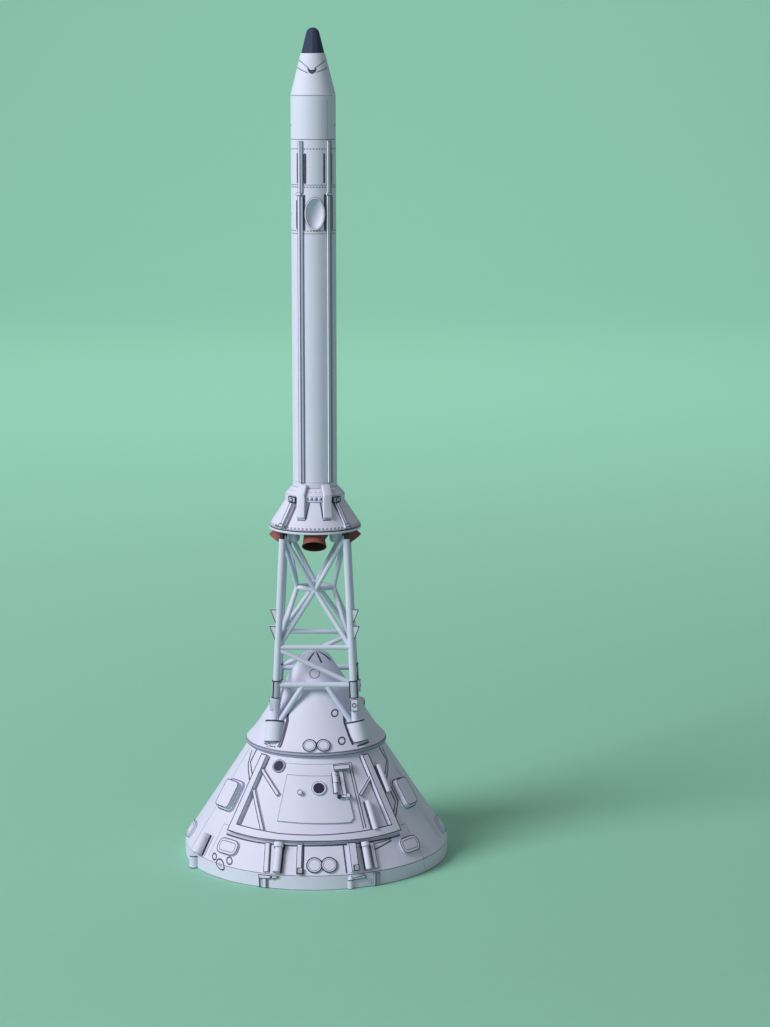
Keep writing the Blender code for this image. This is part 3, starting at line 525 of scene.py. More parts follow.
def make_finishes():
    # key, name, painting function
    cards = (
        ("card", "white_card_stock", plain_card()),
        ("rod", "rolled_rod_card", plain_card(ROD_WHITE, ROD_GREY)),
        # lavender card: painted shade on the rails' shaded strips, and lavender print such as the
        # corner window's ring
        ("shade", "lavender_print_and_painted_shade", plain_card(LAVENDER, BLUE_GREY)),
        ("grey", "grey_print", plain_card(GREY, DARK_GREY)),
        ("ink", "navy_outline_ink", ink_paint),
        ("cover", "printed_cover_card",
         print_paint(COVER, COVER_LINES, COVER_RINGS, COVER_SHADES, COVER_ROUND)),
        ("upper", "printed_upper_card", print_paint(UPPER, UPPER_LINES, UPPER_RINGS)),
        ("lip", "printed_lip_card",
         print_paint(RIM, around=LIP_ROUND, base=LIP_GREY, other=DARK_LIP_GREY)),
        ("tube", "printed_tube_card", print_paint(TUBE, TUBE_LINES, around=TUBE_ROUND)),
        ("nose", "printed_nose_card", print_paint(NOSE, NOSE_LINES)),
        ("skirt", "printed_skirt_card", print_paint(SKIRT, SKIRT_LINES, around=SKIRT_ROUND)),
        ("collar", "printed_collar_card",
         print_paint(FLANGE, FLANGE_LINES, around=FLANGE_ROUND)),
    )
    # key, name, darkest and lightest colour, lowest and highest roughness
    inks = (
        ("line", "thin_line_print", (0.13, 0.13, 0.19), (0.2, 0.2, 0.27), 0.5, 0.7),
        ("navy", "navy_window_ink", (0.016, 0.012, 0.045), (0.035, 0.03, 0.08), 0.55, 0.75),
        ("cap", "dark_cap_card", (0.019, 0.028, 0.07), (0.044, 0.06, 0.125), 0.55, 0.75),
        ("bell", "red_brown_card", (0.20, 0.055, 0.045), (0.34, 0.11, 0.085), 0.5, 0.7),
        ("throat", "dark_throat_card", (0.02, 0.009, 0.009), (0.06, 0.022, 0.02), 0.6, 0.8),
        ("black", "black_collar_ink", (0.012, 0.012, 0.02), (0.04, 0.04, 0.06), 0.4, 0.6),
        ("floor", "pale_paper", (0.27, 0.60, 0.44), (0.30, 0.64, 0.47), 0.75, 0.85),
    )
    finishes = {key: finish(name, paint) for key, name, paint in cards}
    finishes.update({key: finish(name, coloured(*look)) for key, name, *look in inks})
    return finishes


FINISH = make_finishes()
# Finishes of a cut card: its face, its outline and its edge
FACE, OUTLINE, EDGE = range(3)
CARD = ("card", "ink", "card")
SOFT = ("card", "line", "card")
SHADED = ("shade", "ink", "shade")
DARK_EDGED = ("card", "ink", "ink")
GREY_FACED = ("grey", "ink", "ink")
# Finishes of a rod or a turned piece: its body and its lines
PLAIN = ("card",)
LINED = ("card", "ink")
ROLLED = ("rod", "ink")
INKED = ("ink", "ink")
BLACKED = ("black", "black")


def mode(name):
    bpy.ops.object.mode_set(mode=name)


def select_all(action="SELECT"):
    bpy.ops.mesh.select_all(action=action)


def deselect():
    if bpy.context.mode != "OBJECT":
        mode("OBJECT")
    bpy.ops.object.select_all(action="DESELECT")


def taken(*pieces):
    """Leaves only these selected, the first of them active."""
    deselect()
    for piece in pieces:
        piece.select_set(True)
    bpy.context.view_layer.objects.active = pieces[0]


def named(piece, name):
    piece.name = name
    piece.data.name = name
    return piece


def started(finishes):
    """The new primitive with its finishes, in edit mode and selected all over."""
    made = bpy.context.object
    made.data.materials.clear()
    for key in finishes:
        made.data.materials.append(FINISH[key])
    bpy.ops.object.transform_apply(location=True, rotation=True, scale=True)
    mode("EDIT")
    bpy.ops.mesh.select_mode(type="FACE")
    select_all()
    return made


def painted(made, index):
    """Gives the selected faces one of the piece's finishes."""
    made.active_material_index = index
    bpy.ops.object.material_slot_assign()


def pushed(*move):
    """Extrudes what is selected by a move in metres."""
    bpy.ops.mesh.extrude_region_move(TRANSFORM_OT_translate={"value": move})


def closed(made, angle=SMOOTH):
    """Ends the modelling: doubles merged, normals outwards, smooth but for its sharp edges."""
    taken(made)
    mode("EDIT")
    select_all()
    bpy.ops.mesh.remove_doubles(threshold=MERGE * MM)
    bpy.ops.mesh.normals_make_consistent(inside=False)
    mode("OBJECT")
    bpy.ops.object.shade_smooth_by_angle(angle=radians(angle))
    return made


def turned(profile, sides, finishes=PLAIN, marked=(), angle=SMOOTH):
    """A filled circle pushed up and sized step by step. Marked steps get the second finish."""
    deselect()
    radius, height = profile[0]
    bpy.ops.mesh.primitive_circle_add(
        vertices=sides, radius=radius * MM, fill_type="NGON", location=(0.0, 0.0, height * MM))
    made = started(finishes)
    steps = zip(profile, profile[1:])
    for step, ((old_radius, old_height), (radius, height)) in enumerate(steps):
        pushed(0.0, 0.0, (height - old_height) * MM)
        scale = (radius / old_radius, radius / old_radius, 1.0)
        bpy.ops.transform.resize(value=scale, center_override=(0.0, 0.0, height * MM))
        bpy.ops.mesh.select_more()
        painted(made, int(step in marked))
        bpy.ops.mesh.select_less()
    painted(made, int(len(profile) - 1 in marked))
    return closed(made, angle)


def set_at(made, start, direction=Vector((0.0, 0.0, 1.0))):
    """Stands a piece modelled upright at the origin on a place, pointing along a direction."""
    turn = direction.to_track_quat("Z", "Y").to_matrix().to_4x4()
    made.data.transform(Matrix.Translation(start) @ turn)
    return made


def picked(made, direction, least):
    """Selects the faces that look along a direction or against it, in edit mode."""
    select_all("DESELECT")
    mode("OBJECT")
    for polygon in made.data.polygons:
        polygon.select = abs(polygon.normal.dot(direction)) > least
    mode("EDIT")


def cut_card(corners, thickness, lines=(LINE,), finishes=CARD):
    """A flat card cut to corners in millimetres. Its lines, from outside in, are printed in turn
    with the outline's and the edge's finish."""
    deselect()
    bpy.ops.mesh.primitive_circle_add(vertices=len(corners), radius=MM, fill_type="NGON")
    made = started(finishes)
    mode("OBJECT")
    for vert, (x, y) in zip(made.data.vertices, corners):
        vert.co = (x * MM, y * MM, 0.0)
    mode("EDIT")
    select_all()
    painted(made, EDGE)
    pushed(0.0, 0.0, thickness * MM)
    for number, width in enumerate(lines):
        painted(made, EDGE if number % 2 else OUTLINE)
        bpy.ops.mesh.inset(thickness=width * MM)
    painted(made, FACE)
    return made


def creased(made, step):
    """Cuts the card across at even steps, so that it can be rolled."""
    mode("OBJECT")
    low = min(vert.co.x for vert in made.data.vertices)
    high = max(vert.co.x for vert in made.data.vertices)
    count = ceil((high - low) / (step * MM))
    mode("EDIT")
    for number in range(1, count):
        select_all()
        x = low + (high - low) * number / count
        bpy.ops.mesh.bisect(plane_co=(x, 0.0, 0.0), plane_no=(1.0, 0.0, 0.0))


def glued(made, skin, azimuth, height, lift=GAP):
    """Rolls a flat card round a skin: x runs round it, y up it and z out of it."""
    creased(made, radians(CREASE) * skin_radius(skin, height))
    mode("OBJECT")
    for vert in made.data.vertices:
        x, y, z = vert.co / MM
        vert.co = on_skin(skin, *roll(skin, azimuth, height, x, y), lift + z)
    return closed(made)


def pasted(corners, thickness, skin, azimuth, height, lift=GAP, lines=(LINE,), finishes=CARD):
    """A card cut flat and then glued on a skin."""
    return glued(cut_card(corners, thickness, lines, finishes), skin, azimuth, height, lift)


def traced(places):
    """An outline with places added, so that its level edges stay level on the unrolled card."""
    dense = []
    for (turn, top), (next_turn, next_top) in zip(places, places[1:] + places[:1]):
        count = max(1, ceil(abs(next_turn - turn) / CREASE))
        for number in range(count):
            share = number / count
            dense.append((turn + share * (next_turn - turn), top + share * (next_top - top)))
    return dense


def outlined(skin, places, thickness, lines=(LINE,), finishes=CARD):
    """A card whose corners are given as azimuths and heights."""
    azimuth, height = (sum(values) / len(places) for values in zip(*places))
    corners = unroll(skin, azimuth, height, traced(places))
    return pasted(corners, thickness, skin, azimuth, height, GAP, lines, finishes)


def rounded_box(width, length, corner, shift=0.0, steps=5):
    corners = []
    for quarter, (side, end) in enumerate(((1, 1), (-1, 1), (-1, -1), (1, -1))):
        for step in range(steps + 1):
            angle = radians(90.0 * (quarter + step / steps))
            x = shift + side * (width / 2 - corner) + corner * cos(angle)
            corners.append((x, end * (length / 2 - corner) + corner * sin(angle)))
    return corners


def disc(radius, steps=40):
    angles = [tau * step / steps for step in range(steps)]
    return [(radius * cos(angle), radius * sin(angle)) for angle in angles]


def strip(skin, start, end, width, thickness, lines=(LINE,), finishes=CARD, lift=GAP):
    """A straight strip glued on between two places."""
    run = Vector(unroll(skin, *start, [end])[0])
    side = run.orthogonal().normalized() * width / 2
    corners = [tuple(corner) for corner in (side, run + side, run - side, -side)]
    return pasted(corners, thickness, skin, *start, lift, lines, finishes)


def rod(start, end, radius, finishes=ROLLED, sides=24, line=0.0, flank=None):
    """A rolled rod between two points in metres, with lines round its ends or down its flanks."""
    deselect()
    run = end - start
    axis = run.normalized()
    bpy.ops.mesh.primitive_cylinder_add(
        vertices=sides, radius=radius * MM, depth=run.length, location=(start + end) / 2,
        rotation=axis.to_track_quat("Z", "Y").to_euler())
    made = started(finishes)
    if line:
        picked(made, axis, 0.9)
        painted(made, OUTLINE)
        bpy.ops.mesh.inset(thickness=line * MM, use_individual=True)
        painted(made, FACE)
    if flank:
        picked(made, flank, 0.97)
        painted(made, OUTLINE)
    return closed(made)


def lined_rod(skin, start, end, radius, lift=GAP, dark_flanks=True):
    """A rod lying on a skin between two places, with a dark strip under it."""
    ends = [on_skin(skin, *place, radius + lift) for place in (start, end)]
    out = on_skin(skin, *start, 1.0) - on_skin(skin, *start)
    flank = (ends[1] - ends[0]).cross(out).normalized() if dark_flanks else None
    width, height = (2 * radius + 0.08, 0.4 * radius) if dark_flanks else (1.5 * radius, 0.08)
    under = strip(skin, start, end, width, height, (), ("ink",) * 3, lift)
    return joined([rod(*ends, radius, LINED, 28, 0.12, flank), under])


def joined(pieces):
    """Several objects made one."""
    taken(*pieces)
    bpy.ops.object.join()
    return pieces[0]


def placed(piece, node, name=None):
    """Names a finished piece and hands it to the frame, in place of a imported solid."""
    named(piece, name or node + "_card")
    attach(piece, "root")
    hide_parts(node)


def assembled(node, pieces):
    placed(joined(pieces), node)


def placed_in_turn(pieces, node, name):
    for number, piece in enumerate(pieces, start=1):
        placed(piece, f"{node}_{number}", f"{name}_{number}")


def copied(piece):
    copy = piece.copy()
    copy.data = piece.data.copy()
    bpy.context.scene.collection.objects.link(copy)
    return copy


def repeated(piece, turns=QUARTERS):
    """Copies of a piece, each with its own mesh, turned round the axis."""
    copies = [copied(piece) for turn in turns]
    for copy, turn in zip(copies, turns):
        copy.data.transform(Matrix.Rotation(radians(turn), 4, "Z"))
    bpy.data.objects.remove(piece)
    return copies


def stood(name, data, location):
    """A camera or a lamp in the scene, at its place."""
    made = bpy.data.objects.new(name, data)
    bpy.context.scene.collection.objects.link(made)
    made.location = location
    return made


def set_camera():
    """The photo's view: 374 mm in front, 118 mm up, looking 9.8 degrees down."""
    data = bpy.data.cameras.new("photo_camera")
    data.sensor_width = 36.0
    data.lens = 86.93
    data.clip_start = 0.01
    camera = stood("photo_camera", data, (0.0107, -0.374, 0.1179))
    camera.rotation_euler = (radians(90.0 - 9.8), 0.0, 0.0)
    bpy.context.scene.camera = camera
    bpy.context.scene.view_settings.view_transform = "Standard"


def area_light(name, location, target, size, power, colour):
    """A round lamp that looks at a target."""
    data = bpy.data.lights.new(name, "AREA")
    data.shape = "DISK"
    data.size = size
    data.energy = power
    data.color = colour
    aim = Vector(target) - Vector(location)
    stood(name, data, location).rotation_euler = aim.to_track_quat("-Z", "Y").to_euler()


def set_lights():
    on_model = (0.0, 0.0, 0.05)
    # name, location, target, size, power, colour
    lamps = (
        ("soft_key", (-0.62, -0.42, 0.55), on_model, 0.45, 7.4, (1.0, 0.955, 1.0)),
        ("soft_fill", (0.6, -0.6, 0.3), on_model, 0.8, 0.2, (1.0, 0.93, 0.92)),
        ("back_light", (0.0, 0.5, 0.95), (0.0, 1.7, 0.25), 0.9, 9.0, (1.0, 0.97, 0.99)),
    )
    for lamp in lamps:
        area_light(*lamp)
    world = bpy.data.worlds.new("studio")
    bpy.context.scene.world = world
    world.use_nodes = True
    background = world.node_tree.nodes["Background"]
    background.inputs["Color"].default_value = (0.97, 0.87, 0.98, 1.0)
    background.inputs["Strength"].default_value = 0.27


def make_floor():
    """A pale paper sweep: flat under the model, curved up far behind it."""
    size, front, bend, wall, steps = 6.0, -5.1, 0.9, 1.6, 12
    deselect()
    bpy.ops.mesh.primitive_plane_add(size=size, location=(0.0, front + size / 2, 0.0))
    floor = named(started(("floor",)), "paper_sweep")
    bpy.ops.mesh.select_mode(type="EDGE")
    select_all("DESELECT")
    mode("OBJECT")
    for edge in floor.data.edges:
        ends = [floor.data.vertices[index].co.y for index in edge.vertices]
        edge.select = min(ends) > 0.0
    mode("EDIT")
    reach = bend * tau / 4 / steps
    for step in range(steps):
        angle = radians(90.0 * (step + 0.5) / steps)
        pushed(0.0, reach * cos(angle), reach * sin(angle))
    pushed(0.0, 0.0, wall)
    mode("OBJECT")
    bpy.ops.object.shade_smooth()


def make_rim():
    """The rim card with the small pieces that stand before it."""
    pieces = [turned([
        (19.98, 0.5), (20.0, 0.02), (20.04, 0.0), (20.41, 0.0), (20.45, 0.04), (20.45, 2.1),
        (20.4, 2.15),
    ], ROUND, ("cover",))]
    bullet = turned([
        (0.42, 0.0), (0.42, 0.1), (0.42, 1.3), (0.42, 1.46), (0.36, 1.62), (0.22, 1.88),
        (0.06, 2.05),
    ], 24, LINED, (0, 2))
    pieces.append(set_at(bullet, polar(20.45, 15.8, 0.0)))
    post = turned([
        (0.7, 0.0), (0.72, 0.04), (0.72, 0.18), (0.72, 1.84), (0.72, 2.0), (0.66, 2.08),
    ], 32, LINED, (1, 3))
    pieces.append(set_at(post, polar(20.75, -63.0, 0.0)))
    # corners as azimuth and height
    plates = (
        ((-23.3, 2.07), (-17.8, 2.1), (-17.9, 1.52), (-23.2, 1.4)),
        ((16.9, 1.79), (22.2, 2.01), (22.6, 1.48), (17.0, 1.39)),
        ((-17.6, 2.1), (-14.2, 2.1), (-14.8, 1.78), (-17.2, 1.49)),
    )
    for places in plates:
        pieces.append(outlined(RIM, places, 0.22, (0.12,)))
    # azimuth, width, top, key of the face
    feet = (
        (-22.9, 0.16, 1.42, "ink"),
        (-20.8, 0.62, 1.5, "card"),
        (-19.4, 0.14, 1.5, "ink"),
        (26.2, 0.46, 2.08, "card"),
        (28.0, 0.6, 2.08, "shade"),
    )
    for azimuth, width, top, key in feet:
        look = ((0.07,), (key, "ink", "card"))
        pieces.append(strip(RIM, (azimuth, 0.03), (azimuth, top), width, 0.16, *look))
    placed(joined(pieces), "rim_band", name="rim_pieces_card")


def make_shells():
    # name, node, finish, slot, outline as radius and height
    shells = (
        ("base_card", "base_disc", "card", "white_card",
         [(19.9, 0.0), (19.95, 0.05), (19.95, 0.42), (19.9, 0.45)]),
        ("cover_card", "lower_cover", "cover", "white_card",
         [(20.3, 2.2), (20.45, 2.23), (15.4, 9.93), (10.45, 17.52), (10.4, 17.6)]),
        ("upper_card", "upper_cover", "upper", "white_card",
         [(10.7, 18.45), (10.78, 18.47), (10.05, 19.24), (9.6, 19.75), (9.2, 20.25), (5.6, 25.8),
          (2.35, 30.85), (2.0, 31.28), (1.5, 31.6), (0.8, 31.83), (0.3, 31.9)]),
        ("lip_card", "cover_lip", "lip", "grey_card",
         [(10.5, 17.65), (10.74, 17.68), (10.84, 17.8), (10.89, 17.95), (10.9, 18.08),
          (10.88, 18.22), (10.83, 18.33), (10.7, 18.4)]),
    )
    for name, node, key, slot, outline in shells:
        placed(turned(outline, ROUND, (key,)), node, name)


def make_motor():
    # name, node, foot, top, radius at the top, finish
    sections = (
        ("tube_card", "motor_tube", 57.75, 96.05, 3.37, "tube"),
        ("control_card", "control_section", 103.3, 109.95, 3.37, "tube"),
        ("nose_section_card", "nose_section", 110.0, 116.4, 3.37, "tube"),
        ("nose_card", "nose_cone", 116.45, 122.55, 1.84, "nose"),
    )
    for name, node, foot, top, radius, key in sections:
        outline = [(3.32, foot), (3.37, foot + 0.03), (radius, top - 0.03), (radius - 0.06, top)]
        placed(turned(outline, TUBE_SIDES, (key,)), node, name=name)
    cap = turned([
        (1.66, 122.6), (1.71, 122.64), (1.33, 124.15), (0.95, 125.66), (0.8, 125.95), (0.5, 126.2),
        (0.3, 126.3),
    ], 12, ("cap",), angle=18.0)
    placed(cap, "nose_cap", "cap_card")
    # side, azimuth
    rails = (
        ("front_left", -38.0),
        ("front_right", 38.0),
        ("back_right", 142.0),
        ("back_left", 218.0),
    )
    # each rail is a white strip with a lavender strip of painted shade along its right side
    # strips of a rail: shift round the tube, foot, top, width, thickness, outline, finishes
    strips = (
        (-2.6, 58.55, 101.75, 0.42, 0.3, 0.07, CARD),
        (4.4, 58.55, 101.75, 0.42, 0.16, 0.05, SHADED),
        (-1.6, 101.8, 109.75, 0.38, 0.26, 0.06, CARD),
        (4.4, 102.1, 109.75, 0.38, 0.16, 0.045, SHADED),
    )
    for side, azimuth in rails:
        pieces = []
        for shift, foot, top, width, thickness, line, finishes in strips:
            turn = azimuth + MOTOR_TURN + shift
            ends = ((turn, foot), (turn, top))
            pieces.append(strip(TUBE, *ends, width, thickness, (line,), finishes))
        turn = azimuth + MOTOR_TURN + strips[0][0]
        joint = rounded_box(0.8, 0.45, 0.15)
        pieces.append(pasted(joint, 0.36, TUBE, turn, 101.95, 0.09, (0.07,)))
        placed(joined(pieces), "rail_" + side, name="rail_card_" + side)


def leg_point(height, side_x=1, side_y=-1):
    """The centre of a leg at a height, in metres."""
    share = (height - LEG_FOOT[1]) / (LEG_TOP[1] - LEG_FOOT[1])
    spacing = LEG_FOOT[0] + share * (LEG_TOP[0] - LEG_FOOT[0])
    return Vector((side_x * spacing, side_y * spacing, height)) * MM


def facing_front(made, place):
    """Turns a card modelled flat so that its face looks to the front, and sets it at a place."""
    closed(made)
    made.data.transform(Matrix.Translation(place) @ Matrix.Rotation(radians(90.0), 4, "X"))
    return made


def make_leg():
    """The front right leg: rolled rod, black collar, grey sleeve over a step, bolted lug."""
    # foot, top, radius, finishes
    parts = (
        (19.0, 50.25, LEG_RADIUS, ROLLED),
        (50.0, 51.18, 0.41, BLACKED),
        (25.9, 28.4, 0.66, ("grey", "ink")),
        (25.2, 25.95, 0.61, ROLLED),
        (28.35, 28.5, 0.69, INKED),
        (25.82, 25.95, 0.69, INKED),
    )
    pieces = [
        rod(leg_point(foot), leg_point(top), radius, finishes, 28, 0.08)
        for foot, top, radius, finishes in parts
    ]
    for side in (-0.56, 0.56):
        ends = [leg_point(height) + Vector((side, -0.42, 0.0)) * MM for height in (25.9, 28.4)]
        pieces.append(rod(*ends, 0.1, INKED, 12))
    middle = leg_point(24.85)
    lug = cut_card(rounded_box(1.16, 1.9, 0.22), 0.85, (0.1,))
    pieces.append(facing_front(lug, middle))
    washer = cut_card(disc(0.34, 28), 0.1, (0.13,), DARK_EDGED)
    pieces.append(facing_front(washer, middle - Vector((0.0, 0.8, 0.0)) * MM))
    return joined(pieces)


def make_legs():
    legs = repeated(make_leg())
    corners = [(0.3, 0.0), (LEG_RADIUS + 0.9, 0.0), (LEG_RADIUS + 0.05, -2.2), (0.3, -2.2)]
    for index, side in ((0, 1), (3, -1)):
        pieces = [legs[index]]
        outline = [(side * x, y) for x, y in corners]
        for top in (39.5, 36.95):
            place = leg_point(top, side) + Vector((0.0, 0.35, 0.0)) * MM
            pieces.append(facing_front(cut_card(outline, 0.7, (0.12,)), place))
        legs[index] = joined(pieces)
    placed_in_turn(legs, "tower_leg", "leg_card_part")


def make_tower_faces():
    """The braces of one face, each ending in its neighbours, with a dab of glue at the cross."""
    cross = Vector((0.0, -2.8, 41.85)) * MM
    # start, end, radius
    bars = [
        (leg_point(33.6, -1), leg_point(33.6, 1), 0.36),
        (leg_point(33.3, -1), leg_point(27.9, 1), 0.36),
        (leg_point(27.8, -1), leg_point(27.8, 1), 0.45),
    ]
    for side in (1, -1):
        ring_end = Vector((side * 1.4, -1.4, 41.85)) * MM
        knee = Vector((side * 1.8, -5.88, 27.7)) * MM
        bars += [
            (leg_point(50.8, side), cross, 0.36),
            (leg_point(33.35, side), cross, 0.36),
            (cross, ring_end, 0.36),
            (knee, leg_point(20.9, side), 0.4),
        ]
    pieces = [rod(*bar, sides=20) for bar in bars]
    dab = [(0.2, -0.42), (0.38, -0.3), (0.46, 0.0), (0.38, 0.3), (0.2, 0.42)]
    pieces.append(set_at(turned(dab, 20, ("rod",)), cross))
    placed_in_turn(repeated(joined(pieces)), "tower_face", "tower_face_card")


def make_leg_covers():
    # node at the front, node a half turn on, side of the leg, azimuth of the foot
    rows = (
        ("leg_cover_1", "leg_cover_3", 1, 45.0),
        ("leg_cover_4", "leg_cover_2", -1, -41.0),
    )
    for node, twin, side, azimuth in rows:
        foot = polar(9.6, azimuth, 19.1)
        top = leg_point(22.3, side)
        run = (top - foot).normalized() * MM
        cover = joined([
            rod(foot, top, 1.4, LINED, 48),
            rod(top - run * 0.26, top - run * 0.02, 1.43, INKED, 48),
            rod(foot + run * 0.02, foot + run * 0.16, 1.43, INKED, 48),
        ])
        first, second = repeated(cover, (0.0, 180.0))
        placed(first, node, name=node + "_card_1")
        placed(second, twin, name=node + "_card_2")


def make_skirt():
    outline = [(6.95, 51.2), (7.03, 51.26), (7.03, 51.48), (6.95, 51.54)]
    floor = [turned(outline, ROUND)]
    for azimuth in DIAGONALS:
        housing = turned([
            (0.25, 49.4), (0.55, 49.47), (0.8, 49.66), (0.93, 49.95), (0.95, 50.15), (0.95, 51.3),
        ], 28, ("rod",))
        floor.append(set_at(housing, polar(4.52, azimuth, 0.0)))
    assembled("skirt_floor", floor)

    outline = [(6.9, 51.6), (6.98, 51.62), (6.98, 51.76), (4.47, 55.67), (4.4, 55.7)]
    cone = [turned(outline, ROUND, ("skirt", "ink"), (1,))]
    # foot, head and eye of a strut: corners, thickness, skin, then height, lift, lines, finishes
    parts = (
        (rounded_box(0.95, 0.6, 0.12), 0.45, SKIRT, 52.1, 0.06, (0.14,), CARD),
        (rounded_box(1.5, 0.95, 0.1), 0.3, FLANGE, 56.05, GAP, (0.16,), GREY_FACED),
        (disc(0.26, 20), 0.2, FLANGE, 56.05, 0.3, (0.1,), DARK_EDGED),
    )
    for turn in DIAGONALS:
        cone.append(strip(SKIRT, (turn, 51.95), (turn, 55.4), 0.62, 0.34, (0.12,)))
        for corners, thickness, skin, *rest in parts:
            cone.append(pasted(corners, thickness, skin, turn, *rest))
    assembled("skirt_cone", cone)

    collar = [turned([
        (4.48, 55.75), (4.55, 55.8), (4.55, 56.55), (4.5, 56.62), (3.95, 57.2), (3.55, 57.62),
        (3.44, 57.7),
    ], ROUND, ("collar",))]
    outline = [(0.25, 0.0), (0.25, 0.06), (0.22, 0.13), (0.14, 0.2), (0.05, 0.22)]
    for azimuth in (-7.5, 0.7, 9.7, 172.5, 180.7, 189.7):
        out = polar(1.0, azimuth, 0.0).normalized()
        collar.append(set_at(turned(outline, 16), polar(4.53, azimuth, 56.3), out))
    assembled("skirt_collar", collar)

    bell = turned([
        (1.55, 3.2), (1.58, 2.2), (1.64, 1.3), (1.74, 0.6), (1.89, 0.03), (1.88, 0.0),
        (1.77, 0.0), (1.76, 0.03), (1.62, 0.6), (1.5, 1.3), (0.7, 1.36),
    ], 48, ("bell", "throat"), (7, 8, 9, 10))
    tilt = Matrix.Rotation(-radians(33.0), 4, "X")
    bell.data.transform(Matrix.Translation(Vector((0.0, -5.45, 49.13)) * MM) @ tilt)
    placed_in_turn(repeated(bell), "nozzle", "nozzle_card")


def make_dishes():
    """The section with two oval outlets scooped out of it, each behind a thin rim."""
    outline = [(3.32, 96.1), (3.37, 96.13), (3.37, 103.22), (3.32, 103.25)]
    middle = 99.05
    pieces = [turned(outline, TUBE_SIDES, ("tube",))]
    oval = [(1.56 * x, 2.48 * y) for x, y in disc(1.0, 64)]
    for azimuth in (MOTOR_TURN, 180.0 + MOTOR_TURN):
        pieces.append(pasted(oval, 0.28, TUBE, azimuth, middle, -0.15, (0.05,), DARK_EDGED))
        deselect()
        bpy.ops.mesh.primitive_uv_sphere_add(
            segments=64, ring_count=48, radius=MM, location=polar(3.47, azimuth, middle),
            scale=(1.42, 1.0, 2.25))
        tool = closed(started(PLAIN))
        for piece in pieces:
            taken(piece)
            scoop = piece.modifiers.new("scoop", "BOOLEAN")
            scoop.operation = "DIFFERENCE"
            scoop.object = tool
            bpy.ops.object.modifier_apply(modifier="scoop")
            closed(piece)
        bpy.data.objects.remove(tool)
    assembled("dish_section", pieces)


def make_pads():
    """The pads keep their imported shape, with their edges eased."""
    pads = []
    for number in range(1, 5):
        pad = copied(frame["nodes"][f"skirt_pad_{number}"])
        for key in list(pad.keys()):
            del pad[key]
        pad.parent = None
        pad.data.materials.clear()
        pad.data.materials.append(FINISH["card"])
        taken(pad)
        mode("EDIT")
        select_all()
        bpy.ops.mesh.remove_doubles(threshold=MERGE * MM)
        bpy.ops.mesh.dissolve_limited(angle_limit=radians(0.5))
        mode("OBJECT")
        edge = pad.modifiers.new("edge", "BEVEL")
        edge.width = 0.07 * MM
        edge.segments = 2
        edge.limit_method = "ANGLE"
        edge.angle_limit = radians(40.0)
        bpy.ops.object.modifier_apply(modifier="edge")
        pads.append(closed(pad))
    placed_in_turn(pads, "skirt_pad", "skirt_pad_card")


def make_frame_card():
    places = [
        (-46.6, 17.2), (-46.6, 6.5), (-27.5, 6.36), (1.3, 6.45), (27.5, 6.36), (46.6, 6.5),
        (46.6, 17.2), (40.0, 17.2), (41.7, 7.6), (25.7, 7.5), (1.3, 7.38), (-17.6, 7.4),
        (-25.7, 7.53), (-41.9, 7.67), (-40.0, 17.2),
    ]
    pieces = [outlined(COVER, places, 0.6)]
    # start and end as azimuth and height, width
    ribs = (
        ((-41.3, 15.33), (-22.45, 12.33), 0.62),
        ((-41.2, 12.5), (-26.3, 7.4), 0.63),
        ((41.15, 14.16), (29.05, 12.07), 0.57),
    )
    for rib in ribs:
        pieces.append(strip(COVER, *rib, 0.3, (0.14,), lift=1.4 * GAP))
    pieces.append(lined_rod(COVER, (32.3, 11.2), (32.0, 7.4), 0.48))
    assembled("hatch_frame", pieces)
    placed(lined_rod(COVER, (51.1, 15.4), (49.5, 11.7), 0.5), "frame_rod")


def make_hatch():
    places = [(-19.9, 15.2), (-19.9, 9.0), (19.8, 8.8), (22.4, 9.3), (21.4, 15.1)]
    hatch = outlined(COVER, places, 0.15, (0.08,), SOFT)
    knob_ends = [on_skin(COVER, -8.6, 12.83, lift) for lift in (0.1, 0.75)]
    knob = rod(*knob_ends, 0.42, LINED, 28, 0.1)
    assembled("hatch_panel", [hatch, knob])

    # node, azimuth, height, radius, line, rim, finish of the rim, lift
    windows = (
        ("hatch_window", 3.2, 13.47, 1.1, 0.07, 0.19, "card", 0.25),
        ("corner_window", -28.1, 16.14, 1.05, 0.08, 0.16, "shade", GAP),
    )
    for node, azimuth, height, radius, line, rim, key, lift in windows:
        look = ((line, rim), ("navy", "line", key))
        glass = pasted(disc(radius), 0.15, COVER, azimuth, height, lift, *look)
        placed(glass, node)

    # azimuth, height, width, length, corner, thickness, lift
    cards = (
        (21.6, 16.04, 2.95, 1.25, 0.15, 0.25, 0.25),
        (20.1, 15.97, 2.5, 0.8, 0.1, 0.55, 0.27),
        (19.25, 12.2, 1.9, 0.5, 0.2, 0.3, 0.27),
        (19.25, 14.0, 0.75, 4.05, 0.1, 0.15, 0.29),
    )
    latch = []
    for azimuth, height, width, length, corner, thickness, lift in cards:
        corners = rounded_box(width, length, corner)
        latch.append(pasted(corners, thickness, COVER, azimuth, height, lift, (0.12,)))
    # places of top and foot, radius
    barrels = (
        ((14.2, 15.4), (13.75, 12.7), 0.32),
        ((14.4, 14.8), (14.3, 14.0), 0.4),
    )
    for barrel in barrels:
        latch.append(lined_rod(COVER, *barrel, 0.25))
    # azimuth, radius, foot and top above the skin, finishes
    knobs = (
        (20.8, 0.42, 0.35, 0.8, LINED),
        (15.5, 0.3, 0.3, 0.65, BLACKED),
    )
    for azimuth, radius, foot, top, finishes in knobs:
        ends = [on_skin(COVER, azimuth, 12.2, lift) for lift in (foot, top)]
        latch.append(rod(*ends, radius, finishes, 24, 0.1))
    assembled("hatch_latch", latch)


